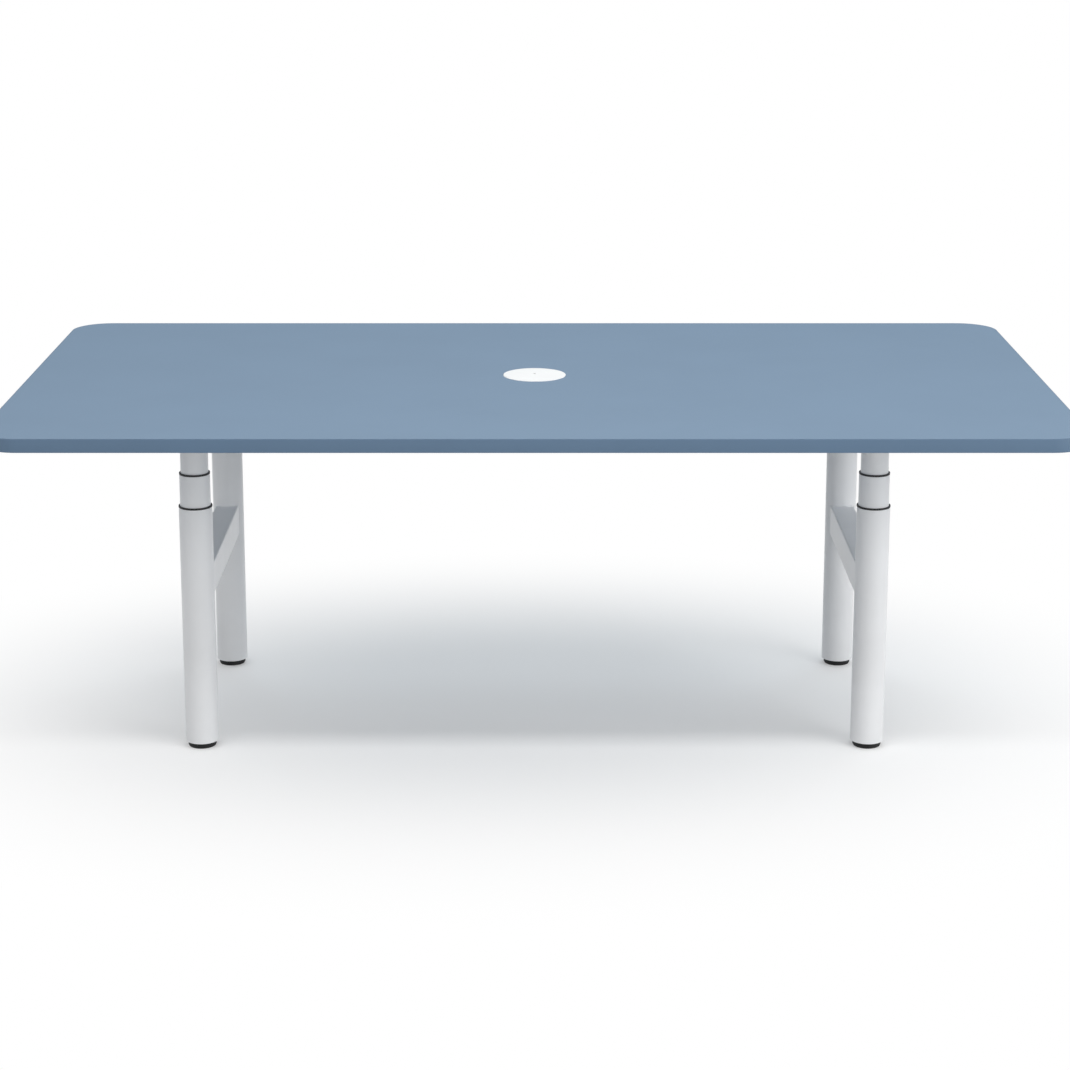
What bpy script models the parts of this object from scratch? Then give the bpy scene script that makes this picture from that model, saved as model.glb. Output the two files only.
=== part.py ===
# Height-adjustable meeting table: a rounded rectangular board on four three-stage round lifting
# columns, joined in pairs by side beams. Metres, +Z up, X along the board's length.
# The origin lies on the floor under the middle of the board. +Y is the rear.

import math

import bmesh
import bpy
from mathutils import Matrix, Vector

# Board
BOARD_LENGTH = 2.200
BOARD_WIDTH = 1.200
BOARD_THICKNESS = 0.028
BOARD_CORNER_RADIUS = 0.085
BOARD_EDGE_ROUND = 0.0015

# Columns
COLUMN_SPACING_X = 1.422
COLUMN_SPACING_Y = 0.554
OUTER_DIAMETER = 0.070
MIDDLE_DIAMETER = 0.064
INNER_DIAMETER = 0.058
TUBE_WALL = 0.0015
OUTER_TUBE_LENGTH = 0.5149
STROKE = 0.650
RAISED_AT_REST = 0.130
COLLAR_HEIGHT = 0.004
COLLAR_OVERHANG = 0.0004
BUSH_DEPTH = 0.040
COLLAR_SPACE = 0.0019
HEAD_SPACE = 0.0046

# Levelling feet
FOOT_HEIGHT = 0.0126
FOOT_DIAMETER = 0.060
FOOT_CHAMFER = 0.0015
FOOT_SOLE_HEIGHT = 0.003
STUD_DIAMETER = 0.010
STUD_GRIP = 0.0075
FOOT_TRAVEL = 0.008

# Tube plugs
PLUG_HEIGHT = 0.0264

# Drive line inside a column
SCREW_DIAMETER = 0.010
SPINDLE_DIAMETER = 0.024
SPINDLE_WALL = 0.0024
SPINDLE_NUT_LENGTH = 0.025
SPINDLE_COLLAR_DIAMETER = 0.032
SHAFT_ACROSS_FLATS = 0.016
SHAFT_BORE = 0.012
SHAFT_ENTRY = 0.012
DRIVE_OVERLAP = 0.030
BEARING_HEIGHT = 0.015
BEARING_STEP = 0.007
NUT_HEIGHT = 0.020
GLIDE_FLANGE = 0.003
STOP_SPACE = 0.0025

# Side beams
BEAM_WIDTH = 0.054
BEAM_HEIGHT = 0.067
BEAM_WALL = 0.002
BEAM_CORNER_RADIUS = 0.003
BEAM_TOP_Z = 0.387

# Top frame
CHANNEL_LENGTH = 0.740
CHANNEL_WIDTH = 0.080
CHANNEL_HEIGHT = 0.044
CHANNEL_WALL = 0.0025
CHANNEL_LIP = 0.020
RAIL_SPACING = 0.400
RAIL_WIDTH = 0.050
RAIL_HEIGHT = 0.030
RAIL_WALL = 0.002
RAIL_END_PLATE = 0.004
HEAD_PLATE_LENGTH = 0.112
HEAD_PLATE_THICKNESS = 0.006
HEAD_PLATE_CORNER = 0.008

# Motors
GEAR_CASE_LENGTH = 0.066
GEAR_CASE_WIDTH = 0.060
GEAR_CASE_HEIGHT = 0.036
GEAR_CASE_ROUND = 0.004
MOTOR_DIAMETER = 0.034
MOTOR_LENGTH = 0.095

# Fasteners
BOLT_DIAMETER = 0.008
HEAD_BOLT_SPACING_X = 0.056
HEAD_BOLT_SPACING_Y = 0.090
RAIL_BOLT_SPACING = 0.028
SCREW_SHANK_DIAMETER = 0.004
SCREW_HEAD_DIAMETER = 0.010
SCREW_HEAD_HEIGHT = 0.0025
SCREW_BITE = 0.018
LIP_SCREW_SPACING = 0.310

# Centre cable hub
LID_DIAMETER = 0.136
LID_THICKNESS = 0.0010
LID_SKIRT_DEPTH = 0.006
LID_SKIRT_WALL = 0.0015
LID_HOLE_DIAMETER = 0.007
LID_HOLE_SETBACK = 0.011
SLEEVE_DIAMETER = 0.120
SLEEVE_WALL = 0.002
SLEEVE_FLANGE = 0.0055
SLEEVE_FLANGE_THICKNESS = 0.0008
SLEEVE_DROP = 0.010

# Control box, handset and leads
BOX_LENGTH = 0.200
BOX_WIDTH = 0.090
BOX_HEIGHT = 0.032
BOX_X = 0.240
BOX_ROUND = 0.004
BOX_EAR_LENGTH = 0.018
BOX_EAR_WIDTH = 0.060
BOX_EAR_THICKNESS = 0.003
INLET_WIDTH = 0.027
INLET_HEIGHT = 0.020
INLET_DEPTH = 0.012
INLET_OFFSET = 0.050
INLET_PIN_DIAMETER = 0.003
HANDSET_LENGTH = 0.110
HANDSET_DEPTH = 0.040
HANDSET_HEIGHT = 0.018
HANDSET_ROUND = 0.003
HANDSET_X = 0.600
HANDSET_SETBACK = 0.004
HANDSET_SCREW_SPACING = 0.080
BUTTON_LENGTH = 0.022
BUTTON_HEIGHT = 0.009
BUTTON_DEPTH = 0.006
BUTTON_PROUD = 0.002
BUTTON_TRAVEL = 0.001
BUTTON_SPACING = 0.034
BUTTON_ROUND = 0.0012
LEAD_DIAMETER = 0.005
LEAD_PLUG_IN = 0.005
LEAD_POINT_SPACING = 0.035
LEAD_SLOT_WIDTH = 0.014
LEAD_SLOT_DEPTH = 0.009
LEAD_LANE_Y = 0.110
LEAD_LANE_STEP = 0.015
LEAD_PITCH = 0.012
LOOM_PLUG_LENGTH = 0.064
LOOM_PLUG_DEPTH = 0.012
LOOM_PLUG_HEIGHT = 0.012
LOOM_PLUG_ROUND = 0.001

# Clearances: between pieces that touch, around pieces that slide, and around pieces that turn
TOUCH = 0.0003
SLIDE = 0.00025
TURN = 0.0004

# Sides of a round shape
TUBE_SIDES = 24
HUB_SIDES = 36
SMALL_SIDES = 16
FASTENER_SIDES = 8

# Places that follow from the sizes above
OUTER_R = OUTER_DIAMETER / 2
MIDDLE_R = MIDDLE_DIAMETER / 2
INNER_R = INNER_DIAMETER / 2
STAGE_STROKE = STROKE / 2
STAGE_AT_REST = RAISED_AT_REST / 2
STAGE_LEFT = STAGE_STROKE - STAGE_AT_REST
OUTER_TOP_Z = FOOT_HEIGHT + OUTER_TUBE_LENGTH
OUTER_RIM_Z = OUTER_TOP_Z + COLLAR_HEIGHT
MIDDLE_TOP_Z = OUTER_RIM_Z + COLLAR_SPACE + STAGE_AT_REST
MIDDLE_RIM_Z = MIDDLE_TOP_Z + COLLAR_HEIGHT
HEAD_Z = MIDDLE_RIM_Z + HEAD_SPACE + STAGE_AT_REST
CHANNEL_Z = HEAD_Z + HEAD_PLATE_THICKNESS
WEB_TOP_Z = CHANNEL_Z + CHANNEL_WALL
BOARD_Z = CHANNEL_Z + CHANNEL_HEIGHT
TOP_Z = BOARD_Z + BOARD_THICKNESS
FLANGE_Z = TOP_Z - SLEEVE_FLANGE_THICKNESS
LID_Z = TOP_Z + TOUCH

STUD_TOP_Z = FOOT_HEIGHT + STUD_GRIP + FOOT_TRAVEL
PLUG_TOP_Z = FOOT_HEIGHT + PLUG_HEIGHT
MIDDLE_Z = PLUG_TOP_Z + STOP_SPACE + GLIDE_FLANGE + TOUCH + STAGE_AT_REST
BEARING_TOP_Z = MIDDLE_Z + BEARING_HEIGHT
INNER_Z = BEARING_TOP_Z + STOP_SPACE + GLIDE_FLANGE + TOUCH + STAGE_AT_REST
SPINDLE_Z = MIDDLE_Z - GLIDE_FLANGE
SHAFT_Z = SPINDLE_Z + SPINDLE_NUT_LENGTH + STOP_SPACE + STAGE_AT_REST
SHAFT_TOP_Z = WEB_TOP_Z + TOUCH + SHAFT_ENTRY
SPINDLE_TOP_Z = SHAFT_Z + STAGE_LEFT + DRIVE_OVERLAP
SCREW_TOP_Z = SPINDLE_Z + STAGE_LEFT + SPINDLE_NUT_LENGTH + STOP_SPACE

COLUMN_X = COLUMN_SPACING_X / 2
COLUMN_Y = COLUMN_SPACING_Y / 2
RAIL_Y = RAIL_SPACING / 2
SHAFT_HOLE_R = SPINDLE_DIAMETER / 2
LEAD_R = LEAD_DIAMETER / 2
LEAD_Z = BOARD_Z - TOUCH - LEAD_R
MOTOR_Z = WEB_TOP_Z + TOUCH + GEAR_CASE_HEIGHT / 2
COLUMNS = {
    "front_left": (-1, -1),
    "front_right": (1, -1),
    "rear_left": (-1, 1),
    "rear_right": (1, 1),
}


def clear_scene():
    for old in list(bpy.data.objects):
        bpy.data.objects.remove(old, do_unlink=True)


def make_collection(name):
    group = bpy.data.collections.new(name)
    bpy.context.scene.collection.children.link(group)
    return group


def make_material(name, colour, roughness, metallic=0.0):
    finish = bpy.data.materials.new(name)
    finish.use_nodes = True
    shader = finish.node_tree.nodes["Principled BSDF"]
    shader.inputs["Base Color"].default_value = (*colour, 1.0)
    shader.inputs["Roughness"].default_value = roughness
    shader.inputs["Metallic"].default_value = metallic
    return finish


clear_scene()
PARTS = make_collection("height_adjustable_meeting_table")
CUTTERS = make_collection("cutters")
BLUE_LAMINATE = make_material("blue_laminate", (0.25, 0.34, 0.45), 0.45)
WHITE_POWDER_COAT = make_material("white_powder_coat", (0.82, 0.83, 0.85), 0.50)
BLACK_PLASTIC = make_material("black_plastic", (0.02, 0.02, 0.02), 0.50)
WHITE_PLASTIC = make_material("white_plastic", (0.88, 0.88, 0.88), 0.40)
GREY_PLASTIC = make_material("grey_plastic", (0.10, 0.10, 0.11), 0.55)
GREY_POLYMER = make_material("grey_polymer", (0.35, 0.35, 0.34), 0.45)
BRIGHT_STEEL = make_material("bright_steel", (0.60, 0.60, 0.60), 0.30, 1.0)
DARK_STEEL = make_material("dark_steel", (0.12, 0.12, 0.13), 0.45, 0.6)


def link(name, mesh, finish=None, parent=None):
    """Place a mesh in the parts, or in the cutters when it has no finish."""
    piece = bpy.data.objects.new(name, mesh)
    if finish is None:
        CUTTERS.objects.link(piece)
        piece.hide_render = True
        piece.display_type = "WIRE"
    else:
        PARTS.objects.link(piece)
        mesh.materials.append(finish)
    piece.parent = parent
    return piece


def rounded_rectangle(length, width, radius, steps=6):
    """Points of a rectangle with round corners, centred on the origin."""
    points = []
    for corner, (sx, sy) in enumerate([(1, 1), (-1, 1), (-1, -1), (1, -1)]):
        middle = Vector((sx * (length / 2 - radius), sy * (width / 2 - radius)))
        for step in range(steps + 1):
            angle = math.radians(90) * (corner + step / steps)
            points.append(middle + radius * Vector((math.cos(angle), math.sin(angle))))
    return points


def circle(radius, centre=(0.0, 0.0), sides=SMALL_SIDES):
    turn = math.tau / sides
    return [Vector(centre) + radius * Vector((math.cos(i * turn), math.sin(i * turn)))
            for i in range(sides)]


def extruded(name, outlines, depth, finish=None, parent=None, frame=Matrix.Identity(4)):
    """A flat shape, outer outline first and holes after it, thickened upwards from its plane."""
    curve = bpy.data.curves.new(name, "CURVE")
    curve.dimensions = "2D"
    curve.fill_mode = "BOTH"
    curve.extrude = depth / 2
    for outline in outlines:
        spline = curve.splines.new("POLY")
        spline.points.add(len(outline) - 1)
        spline.use_cyclic_u = True
        for point, (x, y) in zip(spline.points, outline):
            point.co = (x, y, 0.0, 1.0)
    mesh = mesh_of_curve(curve)
    mesh.transform(frame @ Matrix.Translation((0, 0, depth / 2)))
    return link(name, mesh, finish, parent)


def mesh_of_curve(curve):
    """The welded, outward-facing mesh of a curve."""
    guide = bpy.data.objects.new(curve.name + "_curve", curve)
    CUTTERS.objects.link(guide)
    bpy.context.view_layer.update()
    mesh = bpy.data.meshes.new_from_object(guide.evaluated_get(bpy.context.evaluated_depsgraph_get()))
    bpy.data.objects.remove(guide)
    shape = bmesh.new()
    shape.from_mesh(mesh)
    bmesh.ops.remove_doubles(shape, verts=shape.verts, dist=1e-6)
    bmesh.ops.recalc_face_normals(shape, faces=shape.faces)
    shape.to_mesh(mesh)
    shape.free()
    return mesh


def turned(name, profile, finish=None, parent=None, closed=False, sides=TUBE_SIDES):
    """A round piece about Z. Its (radius, height) profile runs down the outer side."""
    mesh = bpy.data.meshes.new(name)
    shape = bmesh.new()
    points = [shape.verts.new((radius, 0.0, height)) for radius, height in profile]
    for first, second in zip(points, points[1:]):
        shape.edges.new((first, second))
    if closed:
        shape.edges.new((points[-1], points[0]))
    shape.to_mesh(mesh)
    shape.free()
    piece = link(name, mesh, finish, parent)
    screw = piece.modifiers.new("turn", "SCREW")
    screw.angle = math.tau
    screw.steps = sides
    screw.render_steps = sides
    screw.use_merge_vertices = True
    screw.merge_threshold = 0.00001
    screw.use_smooth_shade = True
    return piece


def ring_profile(outer, inner, low, high):
    return [(outer, high), (outer, low), (inner, low), (inner, high)]


def solids(name, boxes=(), rods=(), finish=None, parent=None):
    """Boxes (size, centre) and round rods (radius, start, end, sides) as separate bodies."""
    shape = bmesh.new()
    for size, centre in boxes:
        place = Matrix.Translation(centre) @ Matrix.Diagonal((*size, 1.0))
        bmesh.ops.create_cube(shape, size=1.0, matrix=place)
    for radius, start, end, sides in rods:
        along = Vector(end) - Vector(start)
        place = Matrix.Translation((Vector(start) + Vector(end)) / 2)
        place = place @ along.to_track_quat("Z", "Y").to_matrix().to_4x4()
        bmesh.ops.create_cone(shape, cap_ends=True, segments=sides, radius1=radius, radius2=radius,
                              depth=along.length, matrix=place)
    mesh = bpy.data.meshes.new(name)
    shape.to_mesh(mesh)
    shape.free()
    return link(name, mesh, finish, parent)


def combine(piece, tool, operation="DIFFERENCE"):
    """Cut a piece with another shape, or join the two."""
    step = piece.modifiers.new(tool.name, "BOOLEAN")
    step.operation = operation
    step.object = tool
    step.solver = "EXACT"


def round_edges(piece, width, segments=2):
    bevel = piece.modifiers.new("round", "BEVEL")
    bevel.width = width
    bevel.segments = segments
    bevel.limit_method = "ANGLE"
    bevel.angle_limit = math.radians(50)


def column_axes():
    """An empty on each column's axis, at the floor."""
    axes = {}
    for name, (sx, sy) in COLUMNS.items():
        axis = bpy.data.objects.new("axis_" + name, None)
        PARTS.objects.link(axis)
        axis.location = (sx * COLUMN_X, sy * COLUMN_Y, 0.0)
        axes[name] = axis
    return axes


def make_foot(name, axis):
    """Screw-in levelling foot: stud, black body and a slightly drawn-in sole."""
    top = FOOT_HEIGHT - TOUCH
    stud = STUD_DIAMETER / 2
    rim = FOOT_DIAMETER / 2
    stud_top = STUD_TOP_Z - TOUCH
    profile = [(0.0, stud_top), (stud, stud_top), (stud, top),
               (rim - FOOT_CHAMFER, top), (rim, top - FOOT_CHAMFER), (rim, FOOT_SOLE_HEIGHT),
               (rim - FOOT_CHAMFER, FOOT_SOLE_HEIGHT), (rim - FOOT_CHAMFER, 0.0), (0.0, 0.0)]
    return turned("foot_" + name, profile, BLACK_PLASTIC, axis)


def make_tube(name, radius, low, high, axis):
    return turned(name, ring_profile(radius, radius - TUBE_WALL, low, high), WHITE_POWDER_COAT, axis,
                  closed=True)


def make_column_base(name, axis):
    """Plug in the outer tube's lower end: the foot's stud below, the fixed lifting screw above."""
    rim = OUTER_R - TUBE_WALL - TOUCH
    stud = STUD_DIAMETER / 2 + TOUCH
    screw = SCREW_DIAMETER / 2
    profile = [(0.0, SCREW_TOP_Z), (screw, SCREW_TOP_Z), (screw, PLUG_TOP_Z), (rim, PLUG_TOP_Z),
               (rim, FOOT_HEIGHT), (stud, FOOT_HEIGHT), (stud, STUD_TOP_Z), (0.0, STUD_TOP_Z)]
    return turned("column_base_" + name, profile, DARK_STEEL, axis)


def make_inner_tube(name, axis):
    """Inner tube with the spindle nut pressed into its lower end and the head plate welded on top."""
    bore = SPINDLE_DIAMETER / 2 + TURN
    flange = MIDDLE_R - TUBE_WALL - SLIDE
    inside = INNER_R - TUBE_WALL
    weld_z = HEAD_Z + HEAD_PLATE_THICKNESS / 4
    profile = [(INNER_R, weld_z), (INNER_R, INNER_Z), (flange, INNER_Z), (flange, INNER_Z - GLIDE_FLANGE),
               (bore, INNER_Z - GLIDE_FLANGE), (bore, INNER_Z + NUT_HEIGHT), (inside, INNER_Z + NUT_HEIGHT),
               (inside, weld_z)]
    tube = turned("inner_tube_" + name, profile, WHITE_POWDER_COAT, axis, closed=True)
    outlines = [rounded_rectangle(CHANNEL_WIDTH, HEAD_PLATE_LENGTH, HEAD_PLATE_CORNER)]
    outlines.append(circle(SHAFT_HOLE_R))
    outlines += [circle(BOLT_DIAMETER / 2 + TOUCH, point, FASTENER_SIDES)
                 for point in head_bolt_points()]
    plate = extruded("head_plate_" + name, outlines, HEAD_PLATE_THICKNESS - TOUCH, parent=axis,
                     frame=Matrix.Translation((0, 0, HEAD_Z)))
    combine(tube, plate, "UNION")
    return tube


def make_collar(name, tube_r, sliding_r, tube_top, axis):
    """Black ring on a tube's rim, with the guide bush that reaches down inside the tube."""
    inner = sliding_r + SLIDE
    bush = tube_r - TUBE_WALL - SLIDE
    rim = tube_r + COLLAR_OVERHANG
    top = tube_top + COLLAR_HEIGHT
    profile = [(rim, top), (rim, tube_top + TOUCH), (bush, tube_top + TOUCH),
               (bush, tube_top - BUSH_DEPTH), (inner, tube_top - BUSH_DEPTH), (inner, top)]
    return turned(name, profile, BLACK_PLASTIC, axis, closed=True)


def make_stage_bearing(name, axis):
    """Closes the middle tube's lower end, glides in the outer tube and carries the spindle."""
    bore = SPINDLE_DIAMETER / 2 + TURN
    seat = SPINDLE_COLLAR_DIAMETER / 2 + TURN
    flange = OUTER_R - TUBE_WALL - SLIDE
    inside = MIDDLE_R - TUBE_WALL - TOUCH
    flange_top = MIDDLE_Z - TOUCH
    step = MIDDLE_Z + BEARING_STEP
    profile = [(inside, BEARING_TOP_Z), (inside, flange_top), (flange, flange_top),
               (flange, flange_top - GLIDE_FLANGE), (bore, flange_top - GLIDE_FLANGE),
               (bore, step), (seat, step), (seat, BEARING_TOP_Z)]
    return turned(name, profile, GREY_POLYMER, axis, closed=True)


def make_spindle(name, axis):
    """Hollow lifting spindle: its foot is the nut on the fixed screw, its collar sits in the bearing."""
    outer = SPINDLE_DIAMETER / 2
    bore = outer - SPINDLE_WALL
    nut = SCREW_DIAMETER / 2 + TOUCH
    collar = SPINDLE_COLLAR_DIAMETER / 2
    collar_low = MIDDLE_Z + BEARING_STEP + TOUCH
    collar_high = BEARING_TOP_Z - TOUCH
    nut_top = SPINDLE_Z + SPINDLE_NUT_LENGTH
    profile = [(outer, SPINDLE_TOP_Z), (outer, collar_high), (collar, collar_high),
               (collar, collar_low), (outer, collar_low), (outer, SPINDLE_Z), (nut, SPINDLE_Z),
               (nut, nut_top), (bore, nut_top), (bore, SPINDLE_TOP_Z)]
    return turned(name, profile, BRIGHT_STEEL, axis, closed=True, sides=SMALL_SIDES)


def make_drive_shaft(name, axis):
    """Hexagonal tube that slides in the spindle and turns it."""
    corner = SHAFT_ACROSS_FLATS / 2 / math.cos(math.radians(30))
    outlines = [circle(corner, sides=6), circle(SHAFT_BORE / 2)]
    return extruded(name, outlines, SHAFT_TOP_Z - SHAFT_Z, DARK_STEEL, axis,
                    Matrix.Translation((0, 0, SHAFT_Z)))


def make_motor(name, axis, side):
    """Gear case over the column, with its motor lying in the channel towards the table's middle."""
    case_size = (GEAR_CASE_WIDTH, GEAR_CASE_LENGTH, GEAR_CASE_HEIGHT)
    motor = solids(name, boxes=[(case_size, (0, 0, MOTOR_Z))], finish=GREY_PLASTIC, parent=axis)
    round_edges(motor, GEAR_CASE_ROUND, 1)
    inside_case = -side * (GEAR_CASE_LENGTH / 2 - GEAR_CASE_ROUND)
    motor_end = -side * (GEAR_CASE_LENGTH / 2 + MOTOR_LENGTH)
    can = solids(name + "_can", rods=[(MOTOR_DIAMETER / 2, (0, inside_case, MOTOR_Z),
                                       (0, motor_end, MOTOR_Z), SMALL_SIDES)], parent=axis)
    combine(motor, can, "UNION")
    below_case = MOTOR_Z - GEAR_CASE_HEIGHT
    shaft_r = SHAFT_ACROSS_FLATS / 2 / math.cos(math.radians(30)) + TURN
    lead_hole = motor_end + side * (LEAD_PLUG_IN + TOUCH)
    sockets = solids(name + "_sockets", parent=axis, rods=[
        (shaft_r, (0, 0, below_case), (0, 0, SHAFT_TOP_Z + TOUCH), SMALL_SIDES),
        (LEAD_R + TOUCH, (0, lead_hole, MOTOR_Z), (0, motor_end - side * LEAD_R, MOTOR_Z), FASTENER_SIDES)])
    combine(motor, sockets)
    return motor


def make_columns(axes):
    for name, (_, side) in COLUMNS.items():
        axis = axes[name]
        make_foot(name, axis)
        make_column_base(name, axis)
        make_tube("outer_tube_" + name, OUTER_R, FOOT_HEIGHT, OUTER_TOP_Z, axis)
        make_collar("lower_collar_" + name, OUTER_R, MIDDLE_R, OUTER_TOP_Z, axis)
        make_tube("middle_tube_" + name, MIDDLE_R, MIDDLE_Z, MIDDLE_TOP_Z, axis)
        make_collar("upper_collar_" + name, MIDDLE_R, INNER_R, MIDDLE_TOP_Z, axis)
        make_stage_bearing("stage_bearing_" + name, axis)
        make_spindle("spindle_" + name, axis)
        make_inner_tube(name, axis)
        make_drive_shaft("drive_shaft_" + name, axis)
        make_motor("gear_motor_" + name, axis, side)


def head_bolt_points():
    return [(sx * HEAD_BOLT_SPACING_X / 2, sy * HEAD_BOLT_SPACING_Y / 2)
            for sx in (-1, 1) for sy in (-1, 1)]


def make_side_beam(name, side):
    """Box beam between a front and a rear outer tube, coped to their round faces."""
    hollow = (BEAM_WIDTH - 2 * BEAM_WALL, BEAM_HEIGHT - 2 * BEAM_WALL)
    inner_corner = max(BEAM_CORNER_RADIUS - BEAM_WALL, BEAM_WALL / 4)
    outlines = [rounded_rectangle(BEAM_WIDTH, BEAM_HEIGHT, BEAM_CORNER_RADIUS, 4),
                rounded_rectangle(*hollow, inner_corner, 2)]
    middle = Vector((side * COLUMN_X, COLUMN_Y, BEAM_TOP_Z - BEAM_HEIGHT / 2))
    frame = Matrix.Translation(middle) @ Matrix.Rotation(math.radians(90), 4, "X")
    beam = extruded(name, outlines, COLUMN_SPACING_Y, WHITE_POWDER_COAT, frame=frame)
    x = side * COLUMN_X
    tubes = [(OUTER_R + TOUCH, (x, end * COLUMN_Y, 0), (x, end * COLUMN_Y, OUTER_TOP_Z), TUBE_SIDES)
             for end in (-1, 1)]
    combine(beam, solids(name + "_cope", rods=tubes))


def lip_screw_points():
    """Where the channels' lips are screwed to the board."""
    reach = (CHANNEL_WIDTH + CHANNEL_LIP) / 2
    return [(side * COLUMN_X + lip * reach, step * LIP_SCREW_SPACING)
            for side in (-1, 1) for lip in (-1, 1) for step in (-1, 0, 1)]


def rail_bolt_points():
    """(y, z) of the bolts that join a rail's end plate to a channel."""
    height = BOARD_Z - TOUCH - RAIL_HEIGHT / 2
    return [(end * RAIL_Y + sy * RAIL_BOLT_SPACING / 2, height) for end in (-1, 1) for sy in (-1, 1)]


def make_channel(name, side):
    """Cross channel over a pair of columns, open towards the board, with lips screwed to it."""
    half = CHANNEL_WIDTH / 2
    inside = half - CHANNEL_WALL
    lip = half + CHANNEL_LIP
    top = CHANNEL_HEIGHT - TOUCH
    under_lip = top - CHANNEL_WALL
    right = [(half, 0), (half, under_lip), (lip, under_lip), (lip, top), (inside, top),
             (inside, CHANNEL_WALL)]
    outline = right + [(-x, z) for x, z in reversed(right)]
    place = Matrix.Translation((side * COLUMN_X, CHANNEL_LENGTH / 2, CHANNEL_Z))
    channel = extruded(name, [outline], CHANNEL_LENGTH, WHITE_POWDER_COAT,
                       frame=place @ Matrix.Rotation(math.radians(90), 4, "X"))
    through_web = (CHANNEL_Z - CHANNEL_WALL, WEB_TOP_Z + CHANNEL_WALL)
    rods = []
    for end in (-1, 1):
        x, y = side * COLUMN_X, end * COLUMN_Y
        rods.append((SHAFT_HOLE_R, (x, y, through_web[0]), (x, y, through_web[1]), SMALL_SIDES))
        for dx, dy in head_bolt_points():
            rods.append((BOLT_DIAMETER / 2 + TOUCH, (x + dx, y + dy, through_web[0]),
                         (x + dx, y + dy, through_web[1]), FASTENER_SIDES))
    flange_x = side * (COLUMN_X - half)
    for y, z in rail_bolt_points():
        rods.append((BOLT_DIAMETER / 2 + TOUCH, (flange_x + side * 2 * CHANNEL_WALL, y, z),
                     (flange_x - side * CHANNEL_WALL, y, z), FASTENER_SIDES))
    for x, y in lip_screw_points():
        if x * side > 0:
            rods.append((SCREW_SHANK_DIAMETER / 2 + TOUCH, (x, y, BOARD_Z - 2 * CHANNEL_WALL),
                         (x, y, BOARD_Z + CHANNEL_WALL), FASTENER_SIDES))
    combine(channel, solids(name + "_holes", rods=rods))
    rail_notch = (CHANNEL_LIP + CHANNEL_WALL, RAIL_WIDTH + 2 * TOUCH, 4 * CHANNEL_WALL)
    lead_notch = (CHANNEL_LIP + 4 * CHANNEL_WALL, LEAD_SLOT_WIDTH, 2 * LEAD_SLOT_DEPTH)
    notches = []
    for end in (-1, 1):
        rail_middle = flange_x - side * rail_notch[0] / 2
        notches.append((rail_notch, (rail_middle, end * RAIL_Y, BOARD_Z)))
        lead_middle = flange_x + side * (2 * CHANNEL_WALL - lead_notch[0] / 2)
        notches.append((lead_notch, (lead_middle, end * LEAD_LANE_Y, BOARD_Z)))
    combine(channel, solids(name + "_notches", boxes=notches))


def make_rail(name, side):
    """Box rail along the board between the channels, with bolted end plates."""
    length = COLUMN_SPACING_X - CHANNEL_WIDTH - 2 * TOUCH
    middle = (0, side * RAIL_Y, BOARD_Z - TOUCH - RAIL_HEIGHT / 2)
    rail = solids(name, boxes=[((length, RAIL_WIDTH, RAIL_HEIGHT), middle)], finish=WHITE_POWDER_COAT)
    hollow = (length - 2 * RAIL_END_PLATE, RAIL_WIDTH - 2 * RAIL_WALL, RAIL_HEIGHT - 2 * RAIL_WALL)
    combine(rail, solids(name + "_hollow", boxes=[(hollow, middle)]))
    rods = []
    for end in (-1, 1):
        for y, z in rail_bolt_points():
            if y * side > 0:
                rods.append((BOLT_DIAMETER / 2 + TOUCH, (end * (length / 2 - 2 * RAIL_END_PLATE), y, z),
                             (end * (length / 2 + RAIL_END_PLATE), y, z), FASTENER_SIDES))
    combine(rail, solids(name + "_holes", rods=rods))
    if side > 0:
        slot = (LEAD_SLOT_WIDTH, RAIL_WIDTH + 2 * RAIL_WALL, 2 * LEAD_SLOT_DEPTH)
        combine(rail, solids(name + "_slot", boxes=[(slot, (BOX_X, side * RAIL_Y, BOARD_Z))]))


def box_screw_points():
    reach = BOX_LENGTH / 2 + BOX_EAR_LENGTH / 2
    return [(BOX_X + end * reach, 0.0) for end in (-1, 1)]


def handset_y():
    """Middle of the handset, just inside the board's rear edge."""
    return BOARD_WIDTH / 2 - HANDSET_SETBACK - HANDSET_DEPTH / 2


def handset_screw_points():
    y = handset_y() - HANDSET_DEPTH / 8
    return [(HANDSET_X + end * HANDSET_SCREW_SPACING / 2, y) for end in (-1, 1)]


def screw_starts():
    """Each board screw's place, at the face that its head bears on."""
    starts = [(x, y, BOARD_Z - CHANNEL_WALL - 2 * TOUCH) for x, y in lip_screw_points()]
    starts += [(x, y, BOARD_Z - BOX_EAR_THICKNESS - 2 * TOUCH) for x, y in box_screw_points()]
    starts += [(x, y, BOARD_Z - HANDSET_HEIGHT + SCREW_HEAD_HEIGHT) for x, y in handset_screw_points()]
    return starts


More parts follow.
